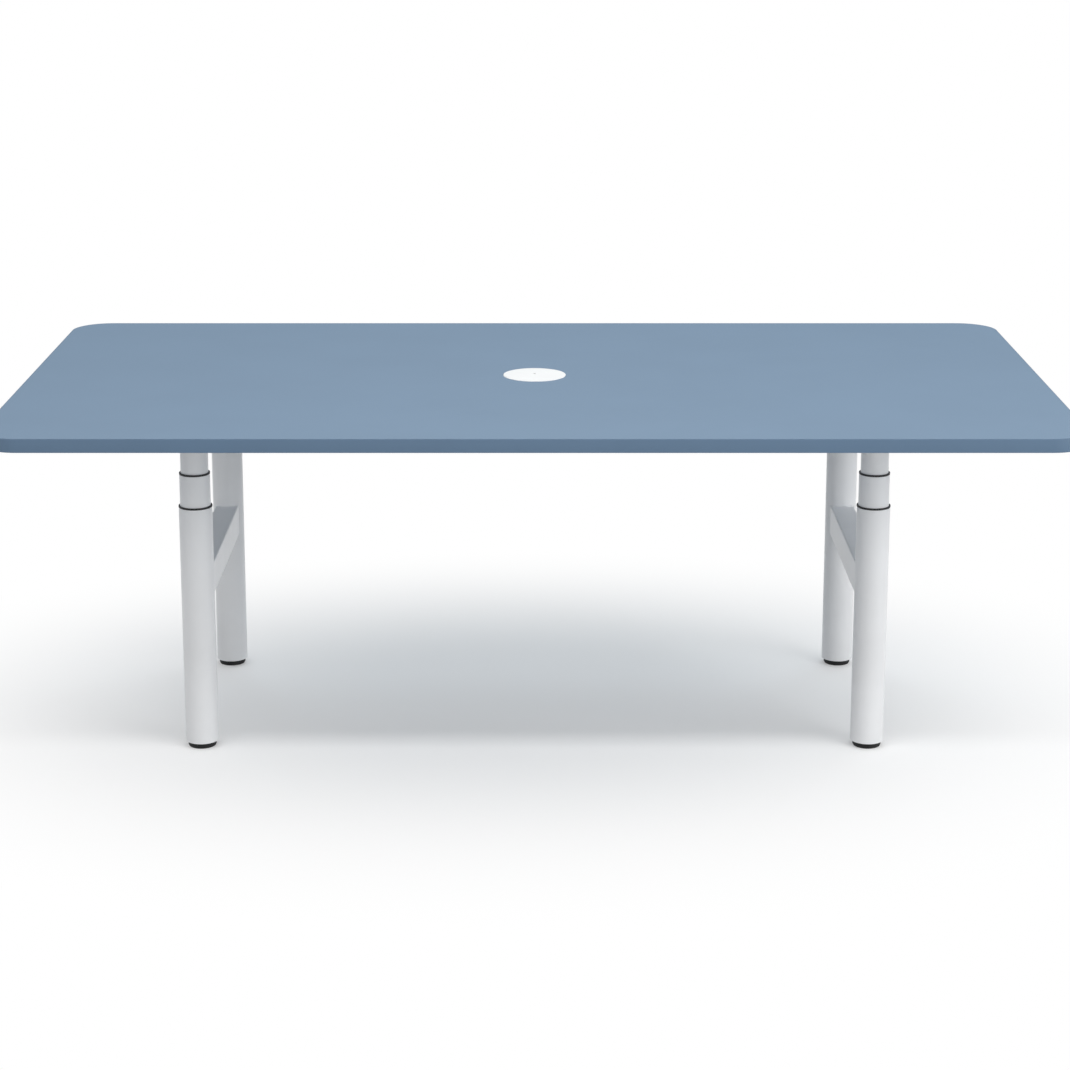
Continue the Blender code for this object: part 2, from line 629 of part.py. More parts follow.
def make_tabletop():
    """Board with round corners and a softened edge, bored for the hub and its screws.

    A shallow rebate round the hub's bore takes the sleeve's flange and the lid's rim.
    """
    outline = rounded_rectangle(BOARD_LENGTH, BOARD_WIDTH, BOARD_CORNER_RADIUS, 8)
    board = extruded("tabletop", [outline], BOARD_THICKNESS, BLUE_LAMINATE,
                     frame=Matrix.Translation((0, 0, BOARD_Z)))
    round_edges(board, BOARD_EDGE_ROUND)
    above = TOP_Z + BOARD_THICKNESS
    rebate = [(LID_DIAMETER / 2 + TOUCH, (0, 0, FLANGE_Z - TOUCH), (0, 0, above), HUB_SIDES)]
    combine(board, solids("tabletop_rebate", rods=rebate))
    rods = [(SLEEVE_DIAMETER / 2 + TOUCH, (0, 0, BOARD_Z - BOARD_THICKNESS), (0, 0, above), HUB_SIDES)]
    for x, y, z in screw_starts():
        rods.append((SCREW_SHANK_DIAMETER / 2 + TOUCH, (x, y, z - BOARD_THICKNESS),
                     (x, y, z + SCREW_BITE + TOUCH), FASTENER_SIDES))
    combine(board, solids("tabletop_holes", rods=rods))


def make_hub():
    """Flanged sleeve through the board, and the round lid that lifts off it."""
    outer = SLEEVE_DIAMETER / 2
    inner = outer - SLEEVE_WALL
    flange = outer + SLEEVE_FLANGE
    low = BOARD_Z - SLEEVE_DROP
    profile = [(flange, TOP_Z), (flange, FLANGE_Z), (outer, FLANGE_Z), (outer, low), (inner, low),
               (inner, TOP_Z)]
    turned("hub_sleeve", profile, GREY_PLASTIC, closed=True, sides=HUB_SIDES)
    rim = LID_DIAMETER / 2
    skirt = inner - TOUCH
    skirt_inside = skirt - LID_SKIRT_WALL
    skirt_low = LID_Z - LID_SKIRT_DEPTH
    lid_top = LID_Z + LID_THICKNESS
    edge = LID_THICKNESS / 2
    profile = [(0.0, lid_top), (rim - edge, lid_top), (rim, lid_top - edge), (rim, FLANGE_Z),
               (flange + TOUCH, FLANGE_Z), (flange + TOUCH, LID_Z), (skirt, LID_Z), (skirt, skirt_low),
               (skirt_inside, skirt_low), (skirt_inside, LID_Z), (0.0, LID_Z)]
    lid = turned("hub_lid", profile, WHITE_PLASTIC, sides=HUB_SIDES)
    hole = (LID_HOLE_DIAMETER / 2, (0, LID_HOLE_SETBACK, LID_Z - LID_THICKNESS),
            (0, LID_HOLE_SETBACK, lid_top + LID_THICKNESS), SMALL_SIDES)
    combine(lid, solids("hub_lid_hole", rods=[hole]))


def make_control_box():
    """Control box with fixing ears, lead sockets and a mains inlet."""
    top = BOARD_Z - TOUCH
    body = ((BOX_LENGTH, BOX_WIDTH, BOX_HEIGHT), (BOX_X, 0, top - BOX_HEIGHT / 2))
    ear_length = BOX_LENGTH + 2 * BOX_EAR_LENGTH
    ears = ((ear_length, BOX_EAR_WIDTH, BOX_EAR_THICKNESS), (BOX_X, 0, top - BOX_EAR_THICKNESS / 2))
    box = solids("control_box", boxes=[body], finish=GREY_PLASTIC)
    round_edges(box, BOX_ROUND)
    combine(box, solids("control_box_ears", boxes=[ears]), "UNION")
    low, high = top - 2 * BOX_EAR_THICKNESS, top + BOX_EAR_THICKNESS
    rods = [(SCREW_SHANK_DIAMETER / 2 + TOUCH, (x, y, low), (x, y, high), FASTENER_SIDES)
            for x, y in box_screw_points()]
    combine(box, solids("control_box_holes", rods=rods))
    inlet_y = -BOX_WIDTH / 2
    inlet_x = BOX_X + INLET_OFFSET
    middle_z = top - BOX_HEIGHT / 2
    inlet = ((INLET_WIDTH, 2 * INLET_DEPTH, INLET_HEIGHT), (inlet_x, inlet_y, middle_z))
    combine(box, solids("control_box_inlet", boxes=[inlet]))
    pin_ends = (inlet_y + INLET_DEPTH / 4, inlet_y + 2 * INLET_DEPTH)
    pins = []
    for step in (-1, 0, 1):
        x = inlet_x + step * INLET_WIDTH / 4
        pins.append((INLET_PIN_DIAMETER / 2, (x, pin_ends[0], middle_z), (x, pin_ends[1], middle_z),
                     FASTENER_SIDES))
    combine(box, solids("control_box_pins", rods=pins), "UNION")


def make_handset():
    """Handset under the rear edge, with an up and a down button in its rear face."""
    top = BOARD_Z - TOUCH
    y = handset_y()
    rear = y + HANDSET_DEPTH / 2
    middle = (HANDSET_X, y, top - HANDSET_HEIGHT / 2)
    housing = solids("handset", boxes=[((HANDSET_LENGTH, HANDSET_DEPTH, HANDSET_HEIGHT), middle)],
                     finish=GREY_PLASTIC)
    round_edges(housing, HANDSET_ROUND)
    depth = BUTTON_DEPTH - BUTTON_PROUD + BUTTON_TRAVEL + TOUCH
    hole = (BUTTON_LENGTH + 2 * TURN, 2 * depth, BUTTON_HEIGHT + 2 * TURN)
    places = {"button_up": 1, "button_down": -1}
    holes = [(hole, (HANDSET_X + step * BUTTON_SPACING / 2, rear, middle[2])) for step in places.values()]
    combine(housing, solids("handset_button_holes", boxes=holes))
    seat = BOARD_Z - HANDSET_HEIGHT + SCREW_HEAD_HEIGHT
    shank_holes = []
    head_holes = []
    for x, screw_y in handset_screw_points():
        shank_holes.append((SCREW_SHANK_DIAMETER / 2 + TOUCH, (x, screw_y, seat - TOUCH),
                            (x, screw_y, BOARD_Z + TOUCH), FASTENER_SIDES))
        head_holes.append((SCREW_HEAD_DIAMETER / 2 + TOUCH, (x, screw_y, seat + TOUCH),
                           (x, screw_y, top - 2 * HANDSET_HEIGHT), FASTENER_SIDES))
    combine(housing, solids("handset_shank_holes", rods=shank_holes))
    combine(housing, solids("handset_head_holes", rods=head_holes))
    front = y - HANDSET_DEPTH / 2
    socket = (LEAD_R + TOUCH, (HANDSET_X, front - LEAD_DIAMETER, LEAD_Z - HANDSET_ROUND),
              (HANDSET_X, front + LEAD_PLUG_IN + TOUCH, LEAD_Z - HANDSET_ROUND), FASTENER_SIDES)
    combine(housing, solids("handset_lead_hole", rods=[socket]))
    for name, step in places.items():
        centre = (HANDSET_X + step * BUTTON_SPACING / 2, rear + BUTTON_PROUD - BUTTON_DEPTH / 2,
                  middle[2])
        empty = bpy.data.objects.new("axis_" + name, None)
        PARTS.objects.link(empty)
        empty.location = centre
        button = solids(name, boxes=[((BUTTON_LENGTH, BUTTON_DEPTH, BUTTON_HEIGHT), (0, 0, 0))],
                        finish=WHITE_PLASTIC, parent=empty)
        round_edges(button, BUTTON_ROUND)


def smooth_path(points, spacing):
    """Evenly spaced points on a smooth curve through the given ones."""
    ends = [2 * points[0] - points[1], *points, 2 * points[-1] - points[-2]]
    path = []
    for before, start, end, after in zip(ends, ends[1:], ends[2:], ends[3:]):
        steps = max(1, round((end - start).length / spacing))
        for step in range(steps):
            t = step / steps
            path.append(((2 * start) + (end - before) * t
                         + (2 * before - 5 * start + 4 * end - after) * t ** 2
                         + (3 * start - before - 3 * end + after) * t ** 3) / 2)
    path.append(points[-1])
    return path


def lead_mesh(name, points):
    curve = bpy.data.curves.new(name, "CURVE")
    curve.dimensions = "3D"
    curve.bevel_depth = LEAD_R
    curve.bevel_resolution = 2
    curve.use_fill_caps = True
    spline = curve.splines.new("POLY")
    path = smooth_path(points, LEAD_POINT_SPACING)
    spline.points.add(len(path) - 1)
    for point, place in zip(spline.points, path):
        point.co = (*place, 1.0)
    return mesh_of_curve(curve)


def motor_lead_start(sx, sy):
    """Out of the motor's end and up through the notch in the channel's inner flange."""
    motor_end = COLUMN_Y - GEAR_CASE_LENGTH / 2 - MOTOR_LENGTH
    flange_x = COLUMN_X - CHANNEL_WIDTH / 2
    rise = LEAD_Z - MOTOR_Z
    return [
        Vector((sx * COLUMN_X, sy * (motor_end + LEAD_PLUG_IN), MOTOR_Z)),
        Vector((sx * COLUMN_X, sy * (motor_end - 0.008), MOTOR_Z)),
        Vector((sx * (COLUMN_X - 0.006), sy * (LEAD_LANE_Y + 0.012), MOTOR_Z + 0.25 * rise)),
        Vector((sx * (COLUMN_X - 0.018), sy * (LEAD_LANE_Y + 0.002), MOTOR_Z + 0.80 * rise)),
        Vector((sx * (flange_x + CHANNEL_WALL), sy * LEAD_LANE_Y, LEAD_Z)),
        Vector((sx * (flange_x - 0.030), sy * LEAD_LANE_Y, LEAD_Z)),
    ]


def motor_lead_points(sx, sy):
    """The whole route of a motor's lead; a front motor's takes the lane nearer the control box."""
    lane = LEAD_LANE_Y if sy > 0 else LEAD_LANE_Y - LEAD_LANE_STEP
    place = 1 if sy > 0 else 2
    end_x = BOX_X + sx * place * LEAD_PITCH
    lane_start = BOX_X + sx * (BOX_LENGTH / 2 + 0.080)
    points = motor_lead_start(sx, sy)
    if sy < 0:
        points.append(Vector((sx * (COLUMN_X - 0.120), -LEAD_LANE_Y * 0.75, LEAD_Z)))
        points.append(Vector((lane_start + sx * 0.060, lane * 0.80, LEAD_Z)))
    points.append(Vector((lane_start, lane, LEAD_Z)))
    points.append(Vector((end_x + sx * 0.040, lane, LEAD_Z)))
    points.append(Vector((end_x + sx * 0.010, lane - 0.008, LEAD_Z)))
    return points + loom_plug_entry(end_x)


def handset_lead_points():
    """Out of the handset's front, along the board and through the rail's slot."""
    front = handset_y() - HANDSET_DEPTH / 2
    low = LEAD_Z - HANDSET_ROUND
    return [
        Vector((HANDSET_X, front + LEAD_PLUG_IN, low)),
        Vector((HANDSET_X, front - 0.010, low)),
        Vector((HANDSET_X, front - 0.040, LEAD_Z)),
        Vector((HANDSET_X - 0.040, front - 0.110, LEAD_Z)),
        Vector((BOX_X + 0.110, RAIL_Y + 0.140, LEAD_Z)),
        Vector((BOX_X + 0.015, RAIL_Y + 0.080, LEAD_Z)),
        Vector((BOX_X, RAIL_Y + RAIL_WIDTH / 2, LEAD_Z)),
        Vector((BOX_X, RAIL_Y - RAIL_WIDTH / 2, LEAD_Z)),
        Vector((BOX_X, RAIL_Y - 0.060, LEAD_Z)),
        *loom_plug_entry(BOX_X),
    ]


def loom_plug_entry(x):
    """The last points of a lead, straight into the loom's plug."""
    face = BOX_WIDTH / 2 + TOUCH + LOOM_PLUG_DEPTH
    height = BOARD_Z - LOOM_PLUG_HEIGHT / 2
    return [Vector((x, face + 2 * LEAD_DIAMETER, height)), Vector((x, face - LEAD_DIAMETER, height))]


def make_wiring_loom():
    """The motors' and the handset's leads, moulded into one plug on the control box's rear face."""
    size = (LOOM_PLUG_LENGTH, LOOM_PLUG_DEPTH, LOOM_PLUG_HEIGHT)
    centre = (BOX_X, BOX_WIDTH / 2 + TOUCH + LOOM_PLUG_DEPTH / 2, BOARD_Z - TOUCH - LOOM_PLUG_HEIGHT / 2)
    plug = solids("wiring_loom", boxes=[(size, centre)], finish=BLACK_PLASTIC)
    round_edges(plug, LOOM_PLUG_ROUND, 1)
    routes = [motor_lead_points(sx, sy) for sx, sy in COLUMNS.values()]
    routes.append(handset_lead_points())
    for number, route in enumerate(routes):
        name = "lead_" + str(number)
        combine(plug, link(name, lead_mesh(name, route)), "UNION")


def build_table():
    make_columns(column_axes())
    for name, side in (("left", -1), ("right", 1)):
        make_side_beam("side_beam_" + name, side)
        make_channel("cross_channel_" + name, side)
    for name, side in (("front", -1), ("rear", 1)):
        make_rail("rail_" + name, side)
    make_tabletop()
    make_hub()
    make_control_box()
    make_handset()
    make_wiring_loom()


build_table()
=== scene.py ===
# Looks of the height-adjustable meeting table: finishes, smooth shells, welds, fasteners, lights
# and camera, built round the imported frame. Metres, +Z up, the table's rear at +Y.

import math

import bmesh
import bpy
from mathutils import Matrix, Vector


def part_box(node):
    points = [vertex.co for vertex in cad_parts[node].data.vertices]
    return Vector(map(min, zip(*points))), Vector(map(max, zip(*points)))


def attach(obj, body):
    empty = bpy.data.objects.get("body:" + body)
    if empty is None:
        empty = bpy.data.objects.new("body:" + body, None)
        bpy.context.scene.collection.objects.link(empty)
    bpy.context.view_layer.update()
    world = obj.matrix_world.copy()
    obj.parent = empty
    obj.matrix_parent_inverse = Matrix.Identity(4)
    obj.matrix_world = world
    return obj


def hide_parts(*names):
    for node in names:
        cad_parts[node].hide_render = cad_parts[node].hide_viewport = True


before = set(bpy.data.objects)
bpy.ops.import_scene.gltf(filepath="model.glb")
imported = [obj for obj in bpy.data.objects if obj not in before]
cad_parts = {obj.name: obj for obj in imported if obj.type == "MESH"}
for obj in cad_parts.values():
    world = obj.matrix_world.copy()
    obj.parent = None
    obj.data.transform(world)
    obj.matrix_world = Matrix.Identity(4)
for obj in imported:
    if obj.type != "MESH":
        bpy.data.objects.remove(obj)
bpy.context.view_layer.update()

COLUMNS = {
    "front_left": (-1, -1),
    "front_right": (1, -1),
    "rear_left": (-1, 1),
    "rear_right": (1, 1),
}
SIDES = {"left": -1, "right": 1}

# Sizes that the frame gives
BOARD_LOW, BOARD_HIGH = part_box("tabletop")
BOARD_Z, TOP_Z = BOARD_LOW.z, BOARD_HIGH.z
SLEEVE_LOW, SLEEVE_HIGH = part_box("hub_sleeve")
LID_LOW, LID_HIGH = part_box("hub_lid")
TUBE_LOW, TUBE_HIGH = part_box("outer_tube_rear_right")
AXIS_X = (TUBE_LOW.x + TUBE_HIGH.x) / 2
AXIS_Y = (TUBE_LOW.y + TUBE_HIGH.y) / 2
TUBE_R = (TUBE_HIGH.x - TUBE_LOW.x) / 2
MIDDLE_LOW, MIDDLE_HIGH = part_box("middle_tube_rear_right")
MIDDLE_R = (MIDDLE_HIGH.x - MIDDLE_LOW.x) / 2
BEAM_LOW, BEAM_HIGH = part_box("side_beam_right")
CHANNEL_LOW, CHANNEL_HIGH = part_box("cross_channel_right")
RAIL_LOW, RAIL_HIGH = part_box("rail_rear")
BOX_LOW, BOX_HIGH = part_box("control_box")
BOX_X = (BOX_LOW.x + BOX_HIGH.x) / 2
HANDSET_LOW, HANDSET_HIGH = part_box("handset")

# TOUCH is the gap between pieces that sit against each other, SLIDE between those that slide. A
# cutter starts PAST the face that it cuts, and a turned shape keeps AXIS_GAP from its axis.
TOUCH = 0.0003
SLIDE = 0.00025
PAST = 0.001
AXIS_GAP = 0.00001
SAME_POINT = 1e-7

# Board and hub, as the CAD part has them; a ROUNDING holds the radii of a profile's corners in turn
BOARD_CORNER = 0.085
BOARD_ARRIS = 0.0015
BAND_THICKNESS = 0.0020
LAMINATE_THICKNESS = 0.0011
BAND_SEAM = 0.00012
SLEEVE_R = 0.060
SLEEVE_WALL = 0.002
SLEEVE_FLANGE_THICKNESS = 0.0008
SLEEVE_ROUNDING = (0.0003, 0.0001, 0, 0.0006, 0.0006, 0.0004)
LID_THICKNESS = 0.0010
LID_SKIRT_DEPTH = 0.006
LID_SKIRT_WALL = 0.0015
LID_HOLE_R = 0.0035
LID_HOLE_SETBACK = 0.011
LID_ROUNDING = (0.0008, 0.0002, 0.0001, 0, 0, 0.0004, 0.0004, 0)

# Columns and side beams
TUBE_WALL = 0.0015
TUBE_EDGE = 0.0004
INNER_R = 0.029
COLLAR_OVERHANG = 0.0004
COLLAR_ROUNDING = (0.0010, 0.0004, 0, 0.0003, 0.0003, 0.0005)
FOOT_SOLE_HEIGHT = 0.003
FOOT_CHAMFER = 0.0015
FOOT_ROUNDING = (0.0018, 0.0008, 0, 0.0006)
STUD_R = 0.005
THREAD_PITCH = 0.0015
THREAD_DEPTH = 0.0006
BEAM_CORNER = 0.003
BEAM_END_RINGS = (0.01, 0.25, 0.5, 0.75, 1.0)
BEAM_POINT_SPACING = 0.003
WELD_R = 0.0014
WELD_RIPPLE = 0.05
HEAD_WELD_RIPPLE = 0.07
HEAD_PLATE_THICKNESS = 0.006
HEAD_PLATE_LENGTH = 0.112
HEAD_PLATE_CORNER = 0.008
HEAD_PLATE_EDGE = 0.0005

# Cross channels and rails
SHEET_WALL = 0.0025
SHEET_BEND = 0.0025
CHANNEL_LIP = 0.020
LIP_EDGE = 0.0004
CHANNEL_WEB = CHANNEL_HIGH.x - CHANNEL_LOW.x - 2 * CHANNEL_LIP
RAIL_CORNER = 0.003
RAIL_END_PLATE = 0.004
RAIL_BEAD_SINK = (0.985, 0.975)

# Gear motors, bolts and screws
FINE_GROOVE = 0.0004
GEAR_CASE = (0.060, 0.066, 0.036)
GEAR_CASE_SPLIT = 0.52
GEAR_CASE_SCREW = (0.006, 0.0015)
GEAR_CASE_SCREWS = (0.044, 0.050)
MOTOR_R = 0.017
CAN_ROOT = 0.002
# The can's outline in shares of its radius and length, from the gear case to its end
CAN_PROFILE = ((1.0, 0.64), (0.93, 0.65), (0.93, 0.665), (0.98, 0.675), (0.98, 0.97), (0.90, 1.0),
               (0.30, 1.0), (0.28, 0.985), (0.0, 0.985))
BOLT = 0.008
HEAD_BOLTS = (0.056, 0.090)
RAIL_BOLT_SPACING = 0.028
LIP_SCREW_SPACING = 0.310

# Control box, handset, leads and clips
EAR_LENGTH = 0.018
EAR_WIDTH = 0.060
EAR_THICKNESS = 0.003
EAR_ROOT = 0.003
EAR_RIB = (0.001, 0.014)
EAR_RIB_SINK = 0.0005
EAR_RIB_PLACE = 0.38
EAR_RIB_REACH = 0.7
EAR_EDGE = 0.0008
COVER_SPLIT = 0.012
CASE_GROOVE = 0.0005
CASE_EDGE = 0.0035
BASE_EDGE = 0.0025
VENTS = 9
VENT_SIZE = (0.003, 0.052, 0.0015)
VENT_PITCH = 0.008
VENT_START = 0.030
INLET = (0.027, 0.012, 0.020)
INLET_X = 0.290
INLET_PIN = (0.0010, 0.002)
INLET_PIN_EDGE = 0.0004
INLET_PIN_DROP = 0.003
INLET_PIN_RISE = 0.002
HANDSET_SPLIT = 0.010
HANDSET_TONGUE = 0.004
HANDSET_EDGE = 0.0028
HANDSET_SCREW_SPACING = 0.080
HANDSET_SCREW_HOLE = (0.0053, 0.004)
KEY_CLEARANCE = 0.0005
KEY_TRAVEL_ROOM = 0.0015
KEY_EDGE = 0.0012
KEY_SETBACK = 0.0002
SYMBOL_SIZE = 0.0024
SYMBOL_THICKNESS = 0.0003
LEAD_R = 0.0025
LEAD_Z = BOARD_Z - TOUCH - LEAD_R
LEAD_LANE_Y = 0.110
LEAD_LANE_STEP = 0.015
LEAD_PITCH = 0.012
LEAD_SLOT = (0.014, 0.009)
LEAD_PLUG_IN = 0.005
LEAD_SPACING = 0.006
PLUG_LOW_Y = BOX_HIGH.y + TOUCH
PLUG_SIZE = (0.064, 0.012, 0.012)
PLUG_EDGE = 0.0010
PLUG_SLEEVE = (0.0045, 0.0031, 0.0072)
CLIP_WIDTH = 0.008
CLIP_WALL = 0.0010
CLIP_FOOT = (0.0075, 0.0012)
FRONT_CLIPS = (0.36, 0.56)
REAR_CLIPS = (0.42, 0.60)

# Edges that bend more than this show sharp, in degrees
SHARP_ANGLE = 35.0

# The long ripple of the powder coat, in waves a metre
WAVE_SCALE = 420.0

# Steps of a round shape
CORNER_STEPS = 24
TUBE_STEPS = 96
HUB_STEPS = 128
SMALL_STEPS = 32
RECESS_STEPS = 48
CAN_STEPS = 64
SLEEVE_STEPS = 24
LEAD_STEPS = 14
WELD_STEPS = 90

# Stage: the floor's size, drop, colours and the painted white glow that lightens its shadow and grows to
# plain white away from the table, and the world's strength on the low and the high side of each axis
FLOOR_HALF = 30.0
FLOOR_DROP = 0.0002
FLOOR_GRAIN = 400.0
FLOOR_COLOUR = (0.94, 0.94, 0.94)
FLOOR_BOUNCE = (0.46, 0.46, 0.46)
# The least share of painted white glow on the floor, which lightens the table's shadow near it
FLOOR_PAINTED_GLOW = 0.10
FADE_SHAPE = (1.0, 1.4, 1.0)
FADE_START, FADE_END = 0.45, 1.75
WORLD_SIDES = {"X": (0.94, 1.20), "Y": (1.00, 0.42), "Z": (0.0, 0.32)}
WHITE = (1.0, 1.0, 1.0, 1.0)

# Lamps: place, aim, size, watts and colour
LAMPS = {
    "front_strip": ((0.2, -1.9, 3.4), (0.2, 0.0, 0.3), (5.5, 0.35), 54.0, (1.0, 1.0, 1.0)),
    "right_box": ((3.9, -2.9, 2.0), (0.0, 0.0, 0.4), (3.2, 3.2), 63.0, (1.0, 1.0, 0.99)),
    "rear_box": ((0.6, 3.2, 3.6), (0.1, 0.0, 0.4), (6.0, 1.6), 65.0, (0.88, 1.0, 1.08)),
}

# Camera
LENS = 85.66
LENS_SHIFT = -0.12
CAMERA_PLACE = (0.001, -5.439, 1.912)
CAMERA_TILT = 12.77


# Materials

def set_inputs(tree, node, inputs):
    """Give each input another node's output, or a plain value on the socket itself."""
    for name, value in inputs.items():
        if isinstance(value, bpy.types.NodeSocket):
            tree.links.new(value, node.inputs[name])
        else:
            node.inputs[name].default_value = value


def add_node(tree, kind, inputs=None, **settings):
    """A shader node of a kind, with its settings and inputs."""
    node = tree.nodes.new(kind)
    for name, value in settings.items():
        setattr(node, name, value)
    set_inputs(tree, node, inputs or {})
    return node


def new_material(name):
    finish = bpy.data.materials.new(name)
    finish.use_nodes = True
    tree = finish.node_tree
    place = add_node(tree, "ShaderNodeTexCoord").outputs["Object"]
    return finish, tree, tree.nodes["Principled BSDF"], place


def add_noise(tree, place, scale, detail=2.0, stretch=(1.0, 1.0, 1.0)):
    """A noise texture's value output, in metres, stretched if need be."""
    mapped = add_node(tree, "ShaderNodeMapping", {"Vector": place, "Scale": stretch}).outputs["Vector"]
    inputs = {"Vector": mapped, "Scale": scale, "Detail": detail}
    return add_node(tree, "ShaderNodeTexNoise", inputs).outputs["Fac"]


def add_range(tree, value, low, high):
    """A noise value, which keeps near one half, spread from low to high."""
    inputs = {"Value": value, "From Min": 0.3, "From Max": 0.7, "To Min": low, "To Max": high}
    return add_node(tree, "ShaderNodeMapRange", inputs).outputs["Result"]


def add_colours(tree, value, dark, light):
    """A colour that goes from dark to light with a value near one half."""
    node = add_node(tree, "ShaderNodeValToRGB", {"Fac": value})
    for stop, position, colour in zip(node.color_ramp.elements, (0.35, 0.65), (dark, light)):
        stop.position = position
        stop.color = (*colour, 1.0)
    return node.outputs["Color"]


def add_bump(tree, shader, height, distance, under=None):
    """A bump on a shader, on top of another one if there is one under it."""
    inputs = {"Height": height, "Distance": distance, "Strength": 1.0}
    if under is not None:
        inputs["Normal"] = under
    bump = add_node(tree, "ShaderNodeBump", inputs).outputs["Normal"]
    set_inputs(tree, shader, {"Normal": bump})
    return bump


def add_math(tree, operation, first, second):
    """A sum, product or the like of two values, each a node's output or a number."""
    return add_node(tree, "ShaderNodeMath", {0: first, 1: second}, operation=operation).outputs["Value"]


def add_mix(tree, share, first, second):
    """The first shader, and the second where share is 1."""
    return add_node(tree, "ShaderNodeMixShader", {0: share, 1: first, 2: second}).outputs["Shader"]


def shade(colour, factor):
    return tuple(min(1.0, channel * factor) for channel in colour)


def grained(name, colour, variation, roughness, grain_scale, grain_depth, metallic=0.0,
            stretch=(1.0, 1.0, 1.0), specular=0.5, cloud_scale=9.0, wave_depth=0.0):
    """A finish with faint clouds of colour, uneven gloss, fine grain and, if asked, a long ripple."""
    finish, tree, shader, place = new_material(name)
    clouds = add_noise(tree, place, cloud_scale, 4.0)
    fine = add_noise(tree, place, grain_scale, 3.0, stretch)
    set_inputs(tree, shader, {
        "Base Color": add_colours(tree, clouds, shade(colour, 1 - variation), shade(colour, 1 + variation)),
        "Roughness": add_range(tree, fine, *roughness),
        "Metallic": metallic,
        "Specular IOR Level": specular,
    })
    under = None
    if wave_depth:
        under = add_bump(tree, shader, add_noise(tree, place, WAVE_SCALE, 1.0), wave_depth)
    add_bump(tree, shader, fine, grain_depth, under)
    return finish


def speckled(name, colour, fleck, roughness, scale, depth):
    """Pressed chips of wood in two browns."""
    finish, tree, shader, place = new_material(name)
    cells = add_node(tree, "ShaderNodeTexVoronoi", {"Vector": place, "Scale": scale}).outputs["Distance"]
    set_inputs(tree, shader, {"Base Color": add_colours(tree, cells, fleck, colour), "Roughness": roughness})
    add_bump(tree, shader, cells, depth)
    return finish


LAMINATE = grained("blue_laminate_face", (0.174, 0.256, 0.359), 0.012, (0.54, 0.64), 1400.0, 0.00002,
                   specular=0.20, cloud_scale=5.0)
# The real edge band has the top's blue; here it is painted darker, as painted shade on the board's upright
# edges.
SHADED_EDGE_BAND = grained("blue_edge_band_painted_shade", (0.106, 0.173, 0.262), 0.015, (0.40, 0.50), 1100.0, 0.00002,
                    specular=0.35, stretch=(1.0, 1.0, 0.4))
BACKING = grained("blue_backing", (0.205, 0.300, 0.400), 0.02, (0.50, 0.62), 900.0, 0.00003,
                  specular=0.3)
CHIPBOARD = speckled("chipboard", (0.50, 0.37, 0.22), (0.26, 0.17, 0.09), 0.85, 350.0, 0.0002)
POWDER_COAT = grained("white_powder_coat", (0.86, 0.87, 0.885), 0.012, (0.34, 0.46), 1500.0, 0.00003,
                      cloud_scale=14.0, wave_depth=0.00005)
COLLAR_PLASTIC = grained("black_collar_plastic", (0.012, 0.012, 0.014), 0.10, (0.40, 0.52), 2600.0, 0.00003,
                         stretch=(1.0, 1.0, 0.25), specular=0.4)
FOOT_PLASTIC = grained("black_foot_plastic", (0.010, 0.010, 0.011), 0.12, (0.50, 0.64), 1800.0, 0.00005,
                       specular=0.3)
LID_PLASTIC = grained("white_lid_plastic", (0.86, 0.86, 0.855), 0.008, (0.54, 0.64), 1600.0, 0.000015,
                      specular=0.08)
CASE_PLASTIC = grained("grey_case_plastic", (0.085, 0.087, 0.092), 0.06, (0.46, 0.60), 1300.0, 0.00008)
BUTTON_PLASTIC = grained("white_button_plastic", (0.74, 0.75, 0.75), 0.01, (0.32, 0.42), 1700.0,
                         0.00002)
SYMBOL_INK = grained("dark_symbol_ink", (0.05, 0.05, 0.055), 0.05, (0.40, 0.50), 1500.0, 0.00002)
BEARING_POLYMER = grained("grey_bearing_polymer", (0.36, 0.36, 0.35), 0.03, (0.40, 0.52), 1200.0,
                          0.00004)
LEAD_JACKET = grained("black_lead_jacket", (0.018, 0.018, 0.019), 0.08, (0.36, 0.48), 1200.0, 0.00004)
ZINC_STEEL = grained("zinc_plated_steel", (0.60, 0.61, 0.62), 0.06, (0.24, 0.40), 700.0, 0.00002,
                     metallic=1.0, cloud_scale=160.0)
GROUND_STEEL = grained("ground_steel", (0.56, 0.56, 0.57), 0.04, (0.22, 0.34), 900.0, 0.00003,
                       metallic=1.0, stretch=(0.2, 0.2, 6.0))
DARK_STEEL = grained("dark_steel", (0.11, 0.11, 0.12), 0.08, (0.36, 0.50), 800.0, 0.00004, metallic=0.7)


# Mesh tools

def new_object(name, data):
    thing = bpy.data.objects.new(name, data)
    bpy.context.scene.collection.objects.link(thing)
    return thing


def take_mesh(name, shape):
    """The finished mesh of a shape, which is used up by it."""
    mesh = bpy.data.meshes.new(name)
    shape.to_mesh(mesh)
    shape.free()
    return mesh


def evaluated_mesh(thing):
    """A new mesh of an object, as its cuts or its curve make it."""
    bpy.context.view_layer.update()
    return bpy.data.meshes.new_from_object(thing.evaluated_get(bpy.context.evaluated_depsgraph_get()))


def shade_edges(mesh):
    mesh.shade_smooth()
    mesh.set_sharp_from_angle(angle=math.radians(SHARP_ANGLE))


def finish_piece(name, shape, finish, body="top", replaced=()):
    """Turn a mesh under construction into a piece with its finish, riding on its body."""
    bmesh.ops.remove_doubles(shape, verts=shape.verts, dist=SAME_POINT)
    bmesh.ops.recalc_face_normals(shape, faces=shape.faces)
    piece = new_object(name, take_mesh(name, shape))
    shade_edges(piece.data)
    piece.data.materials.append(finish)
    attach(piece, body)
    if replaced:
        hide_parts(*replaced)
    return piece


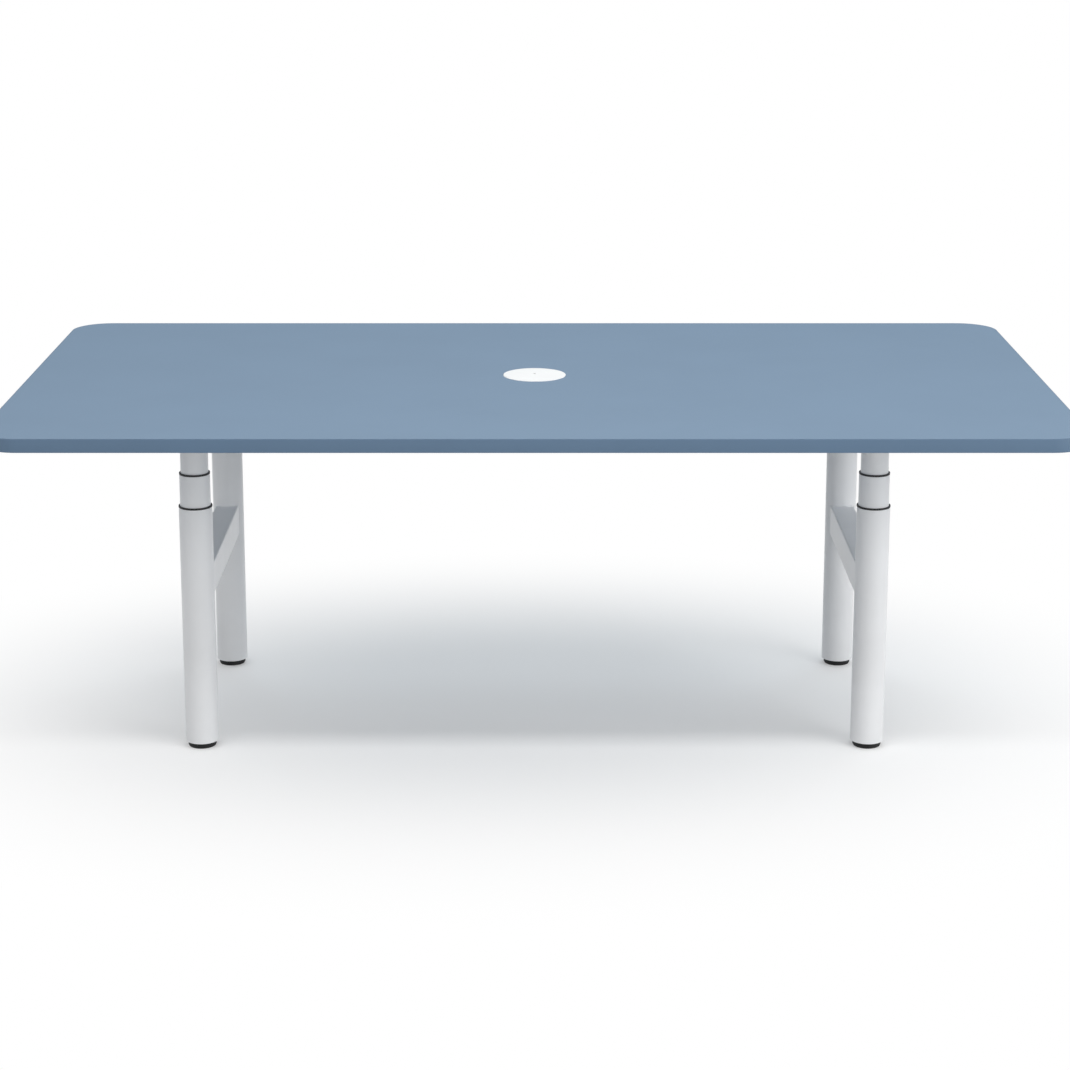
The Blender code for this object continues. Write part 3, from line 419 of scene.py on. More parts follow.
def turned_piece(name, profile, finish, body="top", replaced=(), centre=(0.0, 0.0), steps=TUBE_STEPS,
                 closed=True):
    """A round piece about an upright axis from its (radius, height) profile."""
    shape = bmesh.new()
    add_loft(shape, [circle_points(max(radius, AXIS_GAP), (*centre, height), steps)
                     for radius, height in profile], closed=closed)
    return finish_piece(name, shape, finish, body, replaced)


def cut(piece, shape, overlapping=False):
    """Cut a shape out of a piece for good, also one whose own solids are overlapping."""
    bmesh.ops.recalc_face_normals(shape, faces=shape.faces)
    tool = new_object("cutter", take_mesh("cutter", shape))
    step = piece.modifiers.new("cut", "BOOLEAN")
    step.object = tool
    step.solver = "EXACT"
    step.use_self = overlapping
    mesh = evaluated_mesh(piece)
    piece.modifiers.remove(step)
    old = piece.data
    piece.data = mesh
    bpy.data.meshes.remove(old)
    bpy.data.objects.remove(tool)
    shade_edges(mesh)


def add_loft(shape, rings, closed=False):
    """Skin between rings of as many points, with both ends capped or, if closed, joined."""
    loops = [[shape.verts.new(point) for point in ring] for ring in rings]
    pairs = list(zip(loops, loops[1:]))
    if closed:
        pairs.append((loops[-1], loops[0]))
    for low, high in pairs:
        count = len(low)
        for i in range(count):
            j = (i + 1) % count
            shape.faces.new((low[i], low[j], high[j], high[i]))
    if not closed:
        shape.faces.new(list(reversed(loops[0])))
        shape.faces.new(loops[-1])


def circle_points(radius, centre=(0.0, 0.0, 0.0), steps=SMALL_STEPS):
    turn = math.tau / steps
    return [Vector(centre) + radius * Vector((math.cos(i * turn), math.sin(i * turn), 0.0))
            for i in range(steps)]


def softened(points, radius, steps=3):
    """A closed outline with its corners rounded; radius is one size or one for each corner."""
    count = len(points)
    radii = radius if isinstance(radius, (list, tuple)) else [radius] * count
    result = []
    for i, corner in enumerate(points):
        corner = Vector(corner)
        before = Vector(points[i - 1]) - corner
        after = Vector(points[(i + 1) % count]) - corner
        if radii[i] <= 0:
            result.append(corner)
            continue
        half = before.angle(after) / 2
        reach = min(radii[i] / math.tan(half), 0.45 * before.length, 0.45 * after.length)
        start = corner + before.normalized() * reach
        end = corner + after.normalized() * reach
        for step in range(steps + 1):
            t = step / steps
            result.append((1 - t) ** 2 * start + 2 * t * (1 - t) * corner + t ** 2 * end)
    return result


def rounded_rectangle(length, width, radius, steps=8):
    points = []
    for corner, (sx, sy) in enumerate([(1, 1), (-1, 1), (-1, -1), (1, -1)]):
        middle = Vector((sx * (length / 2 - radius), sy * (width / 2 - radius)))
        for step in range(steps + 1):
            angle = math.radians(90) * (corner + step / steps)
            points.append(middle + radius * Vector((math.cos(angle), math.sin(angle))))
    return points


def add_plate(shape, outlines, low, high):
    """A flat plate: outer outline first, holes after it."""
    curve = bpy.data.curves.new("plate", "CURVE")
    curve.dimensions = "2D"
    curve.fill_mode = "BOTH"
    curve.extrude = (high - low) / 2
    for outline in outlines:
        spline = curve.splines.new("POLY")
        spline.points.add(len(outline) - 1)
        spline.use_cyclic_u = True
        for point, place in zip(spline.points, outline):
            point.co = (place[0], place[1], 0.0, 1.0)
    guide = new_object("plate", curve)
    mesh = evaluated_mesh(guide)
    bpy.data.objects.remove(guide)
    mesh.transform(Matrix.Translation((0, 0, (low + high) / 2)))
    shape.from_mesh(mesh)
    bpy.data.meshes.remove(mesh)
    bmesh.ops.remove_doubles(shape, verts=shape.verts, dist=10 * SAME_POINT)


def add_block(shape, low, high, radius=0.0, segments=3):
    """A box between two corners, with rounded edges."""
    low, high = Vector(low), Vector(high)
    place = Matrix.Translation((low + high) / 2) @ Matrix.Diagonal((*(high - low), 1.0))
    made = bmesh.ops.create_cube(shape, size=1.0, matrix=place)
    if radius:
        edges = list(dict.fromkeys(edge for vert in made["verts"] for edge in vert.link_edges))
        bmesh.ops.bevel(shape, geom=edges, offset=radius, segments=segments, profile=0.5, affect="EDGES")


def add_sweep(shape, path, radius, steps=12, closed=False, ripple=0.0):
    """A round tube along points; ripple varies its radius as a weld's scales do."""
    count = len(path)
    rings = []
    side = None
    for i, place in enumerate(path):
        before = path[i - 1] if closed or i else path[0]
        after = path[(i + 1) % count] if closed or i < count - 1 else path[-1]
        along = (after - before).normalized()
        if side is None:
            side = along.orthogonal().normalized()
        side = (side - along * side.dot(along)).normalized()
        up = along.cross(side)
        size = radius * (1 + ripple * math.cos(math.pi * i))
        rings.append([place + size * (math.cos(a) * side + math.sin(a) * up)
                      for a in (math.tau * k / steps for k in range(steps))])
    add_loft(shape, rings, closed=closed)


def turned_frame(centre, direction):
    """A matrix that stands a shape's +Z along a direction, at a centre."""
    turn = Vector(direction).to_track_quat("Z", "Y").to_matrix().to_4x4()
    return Matrix.Translation(centre) @ turn


def placed(rings, place):
    return [[place @ Vector(point) for point in ring] for ring in rings]


def disc(radius, height, steps=RECESS_STEPS):
    return circle_points(radius, (0, 0, height), steps)


def radial_points(radius_at, height, steps=RECESS_STEPS):
    """Points round an axis, as many as a disc has, at the radius that a rule gives for each angle."""
    angles = [math.tau * i / steps for i in range(steps)]
    return [Vector((radius_at(a) * math.cos(a), radius_at(a) * math.sin(a), height)) for a in angles]


def hexagon_points(across, height):
    def radius(angle):
        return across / 2 / math.cos(angle % math.radians(60) - math.radians(30))

    return radial_points(radius, height)


def cross_points(arm, width, height):
    """Points on a plus sign."""
    def radius(angle):
        within = (angle + math.radians(45)) % math.radians(90) - math.radians(45)
        reach = arm / math.cos(within)
        return min(reach, width / abs(math.sin(within))) if abs(within) > 1e-6 else reach

    return radial_points(radius, height)


def add_hex_bolt(shape, centre, direction, size=BOLT):
    """A washer and a hexagon head that stand on a face, pointing along direction."""
    across, height, washer = 1.6 * size, 0.66 * size, 0.16 * size
    place = turned_frame(centre, direction)
    washer_r = 0.98 * size
    washer_rings = [disc(washer_r, 0), disc(washer_r, 0.8 * washer), disc(washer_r - 0.2 * washer, washer)]
    add_loft(shape, placed(washer_rings, place))
    head_rings = [disc(0.48 * across, washer + TOUCH / 3), hexagon_points(across, washer + 0.04 * size),
                  hexagon_points(across, washer + 0.90 * height), disc(0.47 * across, washer + height),
                  disc(0.30 * across, washer + 0.97 * height)]
    add_loft(shape, placed(head_rings, place))


def add_nut(shape, centre, direction, size=BOLT):
    """A hexagon nut on a face, with its bolt's end standing out of it."""
    across, height = 1.6 * size, 0.8 * size
    place = turned_frame(centre, direction)
    rings = [disc(0.48 * across, 0), hexagon_points(across, 0.06 * size),
             hexagon_points(across, height - 0.06 * size), disc(0.47 * across, height),
             disc(0.50 * size, height), disc(0.50 * size, height + 0.35 * size),
             disc(0.42 * size, height + 0.42 * size)]
    add_loft(shape, placed(rings, place))


def add_pan_screw(shape, centre, direction, head=0.010, height=0.0025):
    """A pan head with a cross recess, on a face, pointing along direction."""
    radius = head / 2
    place = turned_frame(centre, direction)
    rings = [disc(radius * 0.96, 0), disc(radius, 0.18 * height)]
    for angle in (20, 40, 60, 75):
        a = math.radians(angle)
        level = height * (0.18 + 0.82 * math.sin(a))
        rings.append(disc(radius * math.cos(a) ** 0.6, level))
    rings.append(cross_points(0.52 * radius, 0.16 * radius, height))
    rings.append(cross_points(0.44 * radius, 0.12 * radius, 0.45 * height))
    add_loft(shape, placed(rings, place))


def make_fasteners(name, add, places, direction, *sizes):
    """One piece of all the bolts, nuts or screws that stand alike on their places."""
    shape = bmesh.new()
    for place in places:
        add(shape, place, direction, *sizes)
    finish_piece(name, shape, ZINC_STEEL)


def four_places(centre, spacing, height):
    return [(centre[0] + bx * spacing[0] / 2, centre[1] + by * spacing[1] / 2, height)
            for bx in (-1, 1) for by in (-1, 1)]


def round_box(node):
    """A round CAD piece's low and high corner, its radius and its centre."""
    low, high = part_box(node)
    return low, high, (high.x - low.x) / 2, ((low.x + high.x) / 2, (low.y + high.y) / 2)


# Pieces of the board and its hub

def make_board():
    length = BOARD_HIGH.x - BOARD_LOW.x
    width = BOARD_HIGH.y - BOARD_LOW.y

    def outline(inset):
        return rounded_rectangle(length - 2 * inset, width - 2 * inset, BOARD_CORNER - inset, CORNER_STEPS)

    section = softened([(0, BOARD_Z), (0, TOP_Z), (BAND_THICKNESS, TOP_Z), (BAND_THICKNESS, BOARD_Z)],
                       [BOARD_ARRIS, BOARD_ARRIS, BAND_SEAM, BAND_SEAM], 4)
    shape = bmesh.new()
    add_loft(shape, [[Vector((*point, height)) for point in outline(inset)] for inset, height in section],
             closed=True)
    # The band's darker blue is painted shade on the board's upright edge.
    finish_piece("board_edge_band", shape, SHADED_EDGE_BAND, "top", ["tabletop"])
    rebate_r = (LID_HIGH.x - LID_LOW.x) / 2 + TOUCH
    inset = BAND_THICKNESS + BAND_SEAM
    core_low, core_high = BOARD_Z + LAMINATE_THICKNESS, TOP_Z - LAMINATE_THICKNESS
    layers = (("board_top_laminate", LAMINATE, core_high, TOP_Z, rebate_r),
              ("board_core", CHIPBOARD, core_low, core_high, SLEEVE_R + TOUCH),
              ("board_backing", BACKING, BOARD_Z, core_low, SLEEVE_R + TOUCH))
    for name, finish, low, high, hole_r in layers:
        hole = [point.xy for point in circle_points(hole_r, steps=HUB_STEPS)]
        shape = bmesh.new()
        add_plate(shape, [outline(inset), hole], low, high)
        finish_piece(name, shape, finish)


def make_hub():
    inner = SLEEVE_R - SLEEVE_WALL
    flange = (SLEEVE_HIGH.x - SLEEVE_LOW.x) / 2
    under = SLEEVE_HIGH.z - SLEEVE_FLANGE_THICKNESS
    profile = softened([(flange, SLEEVE_HIGH.z), (flange, under), (SLEEVE_R, under),
                        (SLEEVE_R, SLEEVE_LOW.z), (inner, SLEEVE_LOW.z), (inner, SLEEVE_HIGH.z)],
                       SLEEVE_ROUNDING)
    turned_piece("hub_sleeve_moulded", profile, CASE_PLASTIC, "top", ["hub_sleeve"], steps=HUB_STEPS)

    rim = (LID_HIGH.x - LID_LOW.x) / 2
    lid_low = LID_HIGH.z - LID_THICKNESS
    skirt = inner - TOUCH
    rebate = flange + TOUCH
    profile = softened([(rim, LID_HIGH.z), (rim, under), (rebate, under), (rebate, lid_low),
                        (skirt, lid_low), (skirt, lid_low - LID_SKIRT_DEPTH),
                        (skirt - LID_SKIRT_WALL, lid_low - LID_SKIRT_DEPTH),
                        (skirt - LID_SKIRT_WALL, lid_low)],
                       LID_ROUNDING, 4)
    profile = [(0.0, LID_HIGH.z), *profile, (0.0, lid_low)]
    lid = turned_piece("hub_lid_moulded", profile, LID_PLASTIC, "hub_cover", ["hub_lid"], steps=HUB_STEPS,
                       closed=False)
    shape = bmesh.new()
    add_loft(shape, [circle_points(LID_HOLE_R, (0, LID_HOLE_SETBACK, lid_low - LID_THICKNESS)),
                     circle_points(LID_HOLE_R, (0, LID_HOLE_SETBACK, LID_HIGH.z + LID_THICKNESS))])
    cut(lid, shape)


# Pieces of the columns

def make_tube(tube, column, body):
    node = f"{tube}_{column}"
    low, high, radius, centre = round_box(node)
    profile = softened([(radius, high.z), (radius, low.z), (radius - TUBE_WALL, low.z),
                        (radius - TUBE_WALL, high.z)], TUBE_EDGE)
    turned_piece(f"{tube}_shell_{column}", profile, POWDER_COAT, body, [node], centre)


def make_collar(collar, tube, sliding_r, column, body):
    """A guide ring on a tube's rim, round the tube that slides in it."""
    node = f"{collar}_{column}"
    low, high, rim, centre = round_box(node)
    tube_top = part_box(f"{tube}_{column}")[1].z
    bush = rim - COLLAR_OVERHANG - TUBE_WALL - SLIDE
    inner = sliding_r + SLIDE
    profile = softened([(rim, high.z), (rim, tube_top + TOUCH), (bush, tube_top + TOUCH), (bush, low.z),
                        (inner, low.z), (inner, high.z)],
                       COLLAR_ROUNDING, 4)
    turned_piece(f"{collar}_ring_{column}", profile, COLLAR_PLASTIC, body, [node], centre)


def make_foot(column):
    """A levelling foot's disc, and its stud with the thread as rings."""
    node = "foot_" + column
    low, high, rim, centre = round_box(node)
    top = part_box("outer_tube_" + column)[0].z - TOUCH
    profile = softened([(rim, top), (rim, FOOT_SOLE_HEIGHT), (rim - FOOT_CHAMFER, FOOT_SOLE_HEIGHT),
                        (rim - FOOT_CHAMFER, low.z)], FOOT_ROUNDING, 4)
    body = "levelling_foot_" + column
    turned_piece("foot_disc_" + column, [(STUD_R, top), *profile, (0.0, low.z)], FOOT_PLASTIC, body, [node],
                 centre, closed=False)
    thread = [(STUD_R, top)]
    turns = int((high.z - top) / THREAD_PITCH)
    for turn in range(turns):
        height = top + turn * THREAD_PITCH
        thread.append((STUD_R, height + 0.25 * THREAD_PITCH))
        thread.append((STUD_R - THREAD_DEPTH, height + 0.60 * THREAD_PITCH))
        thread.append((STUD_R, height + 0.95 * THREAD_PITCH))
    thread += [(STUD_R - THREAD_DEPTH, high.z), (0.0, high.z)]
    turned_piece("foot_stud_" + column, [(0.0, top), *thread], ZINC_STEEL, body, (), centre, SMALL_STEPS,
                 closed=False)


def make_inner_tube(column):
    """The inner tube and its welded head plate, bolted up into the channel."""
    node = "inner_tube_" + column
    low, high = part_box(node)
    sx, sy = COLUMNS[column]
    centre = (sx * AXIS_X, sy * AXIS_Y)
    plate_z = high.z - HEAD_PLATE_THICKNESS + TOUCH
    profile = softened([(INNER_R, plate_z), (INNER_R, low.z), (INNER_R - TUBE_WALL, low.z),
                        (INNER_R - TUBE_WALL, plate_z)], [0, TUBE_EDGE, TUBE_EDGE, 0])
    turned_piece("inner_tube_shell_" + column, profile, POWDER_COAT, "top", [node], centre)

    shape = bmesh.new()
    edge = HEAD_PLATE_EDGE
    rings = [[Vector((*point, height)) + Vector((*centre, 0))
              for point in rounded_rectangle(CHANNEL_WEB - 2 * inset, HEAD_PLATE_LENGTH - 2 * inset,
                                             HEAD_PLATE_CORNER - inset)]
             for inset, height in ((edge, plate_z), (0, plate_z + edge), (0, high.z - edge),
                                   (edge, high.z))]
    add_loft(shape, rings)
    finish_piece("head_plate_" + column, shape, POWDER_COAT)

    shape = bmesh.new()
    ring = circle_points(INNER_R + 0.6 * WELD_R, (*centre, plate_z - 0.4 * WELD_R), WELD_STEPS)
    add_sweep(shape, ring, WELD_R * 1.2, 10, closed=True, ripple=HEAD_WELD_RIPPLE)
    finish_piece("head_plate_weld_" + column, shape, POWDER_COAT)

    web_top = CHANNEL_LOW.z + SHEET_WALL
    make_fasteners("head_bolts_" + column, add_hex_bolt, four_places(centre, HEAD_BOLTS, plate_z),
                   (0, 0, -1))
    make_fasteners("head_nuts_" + column, add_nut, four_places(centre, HEAD_BOLTS, web_top), (0, 0, 1))


def make_motor(column):
    node = "gear_motor_" + column
    low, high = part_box(node)
    sx, sy = COLUMNS[column]
    x, y = sx * AXIS_X, sy * AXIS_Y
    split = low.z + GEAR_CASE_SPLIT * GEAR_CASE[2]
    groove = FINE_GROOVE
    half_x, half_y = GEAR_CASE[0] / 2, GEAR_CASE[1] / 2
    shape = bmesh.new()
    add_block(shape, (x - half_x, y - half_y, low.z), (x + half_x, y + half_y, split - groove),
              CASE_EDGE)
    add_block(shape, (x - half_x + groove, y - half_y + groove, split - 2 * groove),
              (x + half_x - groove, y + half_y - groove, split + 2 * groove))
    add_block(shape, (x - half_x, y - half_y, split + groove), (x + half_x, y + half_y, high.z),
              CASE_EDGE)
    finish_piece("gear_case_" + column, shape, CASE_PLASTIC, "top", [node])

    places = four_places((x, y), GEAR_CASE_SCREWS, high.z - GEAR_CASE_SCREW[1])
    make_fasteners("gear_case_screws_" + column, add_pan_screw, places, (0, 0, 1), *GEAR_CASE_SCREW)

    length = abs((low.y if sy > 0 else high.y) - (y - sy * half_y))
    middle_z = (low.z + high.z) / 2
    place = turned_frame((x, y - sy * half_y, middle_z), (0, -sy, 0))
    profile = [(0.0, -CAN_ROOT), (MOTOR_R, -CAN_ROOT),
               *((across * MOTOR_R, along * length) for across, along in CAN_PROFILE)]
    shape = bmesh.new()
    rings = [disc(max(radius, AXIS_GAP), height, CAN_STEPS) for radius, height in profile]
    add_loft(shape, placed(rings, place))
    finish_piece("motor_can_" + column, shape, DARK_STEEL)


def make_columns():
    for column in COLUMNS:
        stage = "middle_stage_" + column
        make_tube("outer_tube", column, "base")
        make_tube("middle_tube", column, stage)
        make_collar("lower_collar", "outer_tube", MIDDLE_R, column, "base")
        make_collar("upper_collar", "middle_tube", INNER_R, column, stage)
        make_inner_tube(column)
        make_foot(column)
        make_motor(column)


def dress_inner_nodes():
    """Finishes of the CAD pieces that stay as they are, inside the columns."""
    finishes = {"column_base_": DARK_STEEL, "stage_bearing_": BEARING_POLYMER, "spindle_": GROUND_STEEL,
                "drive_shaft_": DARK_STEEL}
    for column in COLUMNS:
        for start, finish in finishes.items():
            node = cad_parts[start + column]
            node.data.materials.clear()
            node.data.materials.append(finish)


# Frame

def beam_end(x, axis_y, side):
    """Where a beam's face meets its round tube."""
    return axis_y - side * math.sqrt((TUBE_R + TOUCH) ** 2 - x ** 2)


def make_beam(name, side):
    """A side beam that ends on its tubes' round walls, with a weld bead at each end."""
    middle_z = (BEAM_LOW.z + BEAM_HIGH.z) / 2
    outline = rounded_rectangle(BEAM_HIGH.x - BEAM_LOW.x, BEAM_HIGH.z - BEAM_LOW.z, BEAM_CORNER, 6)
    dense = []
    for first, second in zip(outline, outline[1:] + outline[:1]):
        pieces = max(1, int((second - first).length / BEAM_POINT_SPACING))
        dense += [first.lerp(second, step / pieces) for step in range(pieces)]
    rings = []
    for end in (-1, 1):
        for share in BEAM_END_RINGS[::-end]:
            rings.append([Vector((side * AXIS_X + share * x, beam_end(share * x, end * AXIS_Y, end),
                                  middle_z + share * z)) for x, z in dense])
    shape = bmesh.new()
    add_loft(shape, rings)
    finish_piece("side_beam_tube_" + name, shape, POWDER_COAT, "base", ["side_beam_" + name])
    shape = bmesh.new()
    last = len(BEAM_END_RINGS) - 1
    for ring in (rings[last], rings[last + 1]):
        add_sweep(shape, ring, WELD_R, 8, closed=True, ripple=WELD_RIPPLE)
    finish_piece("side_beam_welds_" + name, shape, POWDER_COAT, "base")


def make_channel(name, side):
    """A bent channel, cut out for the rails and leads."""
    half = CHANNEL_WEB / 2
    inside = half - SHEET_WALL
    lip = half + CHANNEL_LIP
    low, high = CHANNEL_LOW.z, CHANNEL_HIGH.z
    under_lip = high - SHEET_WALL
    right = [(half, low), (half, under_lip), (lip, under_lip), (lip, high), (inside, high),
             (inside, low + SHEET_WALL)]
    bend = SHEET_BEND + SHEET_WALL
    radii = [bend, SHEET_BEND, LIP_EDGE, LIP_EDGE, bend, SHEET_BEND]
    outline = [Vector(point) for point in right] + [Vector((-x, z)) for x, z in reversed(right)]
    section = softened(outline, radii + radii[::-1], 5)
    rings = []
    for y in (CHANNEL_LOW.y, CHANNEL_HIGH.y):
        rings.append([Vector((side * AXIS_X + x, y, z)) for x, z in section])
    shape = bmesh.new()
    add_loft(shape, rings)
    channel = finish_piece("channel_sheet_" + name, shape, POWDER_COAT, "top", ["cross_channel_" + name])
    flange_x = side * (AXIS_X - half)
    cutter = bmesh.new()
    rail_half = (RAIL_HIGH.y - RAIL_LOW.y) / 2 + TOUCH
    rail_y = (RAIL_HIGH.y + RAIL_LOW.y) / 2
    reach = CHANNEL_LIP + 2 * SHEET_WALL
    for end in (-1, 1):
        spans = [sorted((flange_x, flange_x - side * reach)),
                 sorted((flange_x + side * (2 * SHEET_WALL + SHEET_BEND), flange_x - side * reach))]
        add_block(cutter, (spans[0][0], end * rail_y - rail_half, high - 2 * SHEET_WALL),
                  (spans[0][1], end * rail_y + rail_half, high + SHEET_WALL))
        add_block(cutter, (spans[1][0], end * LEAD_LANE_Y - LEAD_SLOT[0] / 2, high - LEAD_SLOT[1]),
                  (spans[1][1], end * LEAD_LANE_Y + LEAD_SLOT[0] / 2, high + SHEET_WALL))
    cut(channel, cutter)

    places = [(side * AXIS_X + lip_side * (half + lip) / 2, step * LIP_SCREW_SPACING, under_lip)
              for lip_side in (-1, 1) for step in (-1, 0, 1)]
    make_fasteners("lip_screws_" + name, add_pan_screw, places, (0, 0, -1))
    bolt_x, bolt_z = flange_x + side * SHEET_WALL, (RAIL_LOW.z + RAIL_HIGH.z) / 2
    places = [(bolt_x, end * rail_y + step * RAIL_BOLT_SPACING / 2, bolt_z)
              for end in (-1, 1) for step in (-1, 1)]
    make_fasteners("rail_bolts_" + name, add_hex_bolt, places, (side, 0, 0))


def make_rail(name, side):
    """A box rail with its welded end plates; the rear one is slotted for the handset's lead."""
    low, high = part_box("rail_" + name)
    middle = (low + high) / 2
    width, height = high.y - low.y, high.z - low.z
    outline = rounded_rectangle(width, height, RAIL_CORNER, 5)
    plate_outline = rounded_rectangle(width - 2 * TOUCH, height - 2 * TOUCH, RAIL_CORNER, 5)
    shape = bmesh.new()
    add_loft(shape, [[Vector((x, middle.y + y, middle.z + z)) for y, z in outline]
                     for x in (low.x + RAIL_END_PLATE, high.x - RAIL_END_PLATE)])
    rail = finish_piece("rail_tube_" + name, shape, POWDER_COAT, "top", ["rail_" + name])
    if side > 0:
        cutter = bmesh.new()
        add_block(cutter, (BOX_X - LEAD_SLOT[0] / 2, low.y - TOUCH, high.z - LEAD_SLOT[1]),
                  (BOX_X + LEAD_SLOT[0] / 2, high.y + TOUCH, high.z + TOUCH))
        cut(rail, cutter)
    plates = bmesh.new()
    beads = bmesh.new()
    for end, face in ((-1, low.x), (1, high.x)):
        inner = face - end * (RAIL_END_PLATE - TOUCH / 3)
        add_loft(plates, [[Vector((x, middle.y + y, middle.z + z)) for y, z in plate_outline]
                          for x in sorted((inner, face))])
        seam = face - end * RAIL_END_PLATE
        in_y, in_z = RAIL_BEAD_SINK
        add_sweep(beads, [Vector((seam, middle.y + y * in_y, middle.z + z * in_z)) for y, z in outline],
                  WELD_R * 0.8, 8, closed=True, ripple=WELD_RIPPLE)
    finish_piece("rail_end_plates_" + name, plates, POWDER_COAT)
    finish_piece("rail_end_welds_" + name, beads, POWDER_COAT)


# Electrics

def add_inlet(shape, body_low, inlet_z):
    """The mains inlet's hollow, as a cutter."""
    add_block(shape, (INLET_X - INLET[0] / 2, body_low.y - PAST, inlet_z - INLET[2] / 2),
              (INLET_X + INLET[0] / 2, body_low.y + INLET[1], inlet_z + INLET[2] / 2))


def make_box_shells(body_low, body_high, inlet_z):
    """The control box's vented cover below and its base against the board, with a tongue between."""
    middle_y = (body_low.y + body_high.y) / 2
    split = BOX_HIGH.z - COVER_SPLIT
    groove = CASE_GROOVE
    shape = bmesh.new()
    add_block(shape, body_low, (body_high.x, body_high.y, split - groove), CASE_EDGE)
    cover = finish_piece("control_box_cover", shape, CASE_PLASTIC, "top", ["control_box"])
    cutter = bmesh.new()
    for step in range(VENTS):
        x = body_low.x + VENT_START + step * VENT_PITCH
        add_block(cutter, (x, middle_y - VENT_SIZE[1] / 2, body_low.z - PAST),
                  (x + VENT_SIZE[0], middle_y + VENT_SIZE[1] / 2, body_low.z + VENT_SIZE[2]))
    add_inlet(cutter, body_low, inlet_z)
    cut(cover, cutter)

    shape = bmesh.new()
    add_block(shape, (body_low.x, body_low.y, split + groove), body_high, BASE_EDGE)
    add_block(shape, (body_low.x + groove, body_low.y + groove, split - 4 * groove),
              (body_high.x - groove, body_high.y - groove, split + 4 * groove))
    base = finish_piece("control_box_base", shape, CASE_PLASTIC)
    cutter = bmesh.new()
    add_inlet(cutter, body_low, inlet_z)
    cut(base, cutter, overlapping=True)


def make_control_box():
    body_low = Vector((BOX_LOW.x + EAR_LENGTH, BOX_LOW.y, BOX_LOW.z))
    body_high = Vector((BOX_HIGH.x - EAR_LENGTH, BOX_HIGH.y, BOX_HIGH.z))
    middle = (body_low + body_high) / 2
    make_box_shells(body_low, body_high, middle.z)

    ears = bmesh.new()
    screws = bmesh.new()
    under = body_high.z - EAR_THICKNESS
    for end in (-1, 1):
        face = middle.x + end * (body_high.x - body_low.x) / 2
        inner = face - end * EAR_ROOT
        spans = sorted((inner, face + end * EAR_LENGTH))
        add_block(ears, (spans[0], middle.y - EAR_WIDTH / 2, under),
                  (spans[1], middle.y + EAR_WIDTH / 2, body_high.z), EAR_EDGE)
        half, depth = EAR_RIB
        top = under + EAR_RIB_SINK
        for rib in (-1, 1):
            y = middle.y + rib * EAR_WIDTH * EAR_RIB_PLACE
            add_loft(ears, [[Vector((inner, y + dy, top)),
                             Vector((face + end * EAR_LENGTH * EAR_RIB_REACH, y + dy, top)),
                             Vector((inner, y + dy, body_high.z - depth))] for dy in (-half, half)])
        add_pan_screw(screws, (face + end * EAR_LENGTH / 2, middle.y, under), (0, 0, -1))
    finish_piece("control_box_ears", ears, CASE_PLASTIC)
    finish_piece("control_box_screws", screws, ZINC_STEEL)

    shape = bmesh.new()
    half_x, half_z = INLET_PIN
    for step in (-1, 0, 1):
        x = INLET_X + step * INLET[0] / 4
        z = middle.z + (INLET_PIN_RISE if step else -INLET_PIN_DROP)
        add_block(shape, (x - half_x, body_low.y + INLET[1] / 4, z - half_z),
                  (x + half_x, body_low.y + INLET[1] + PAST, z + half_z), INLET_PIN_EDGE, 2)
    finish_piece("control_box_inlet_pins", shape, ZINC_STEEL)


def add_triangle(shape, centre, size, up, thickness):
    """A flat arrow head in the XZ plane that points up or down."""
    outline = softened([(-size, -0.6 * size), (size, -0.6 * size), (0.0, 0.9 * size)], size / 8, 3)
    rings = [[Vector((centre[0] + x, y, centre[2] + up * z)) for x, z in outline]
             for y in (centre[1], centre[1] + thickness)]
    add_loft(shape, rings)


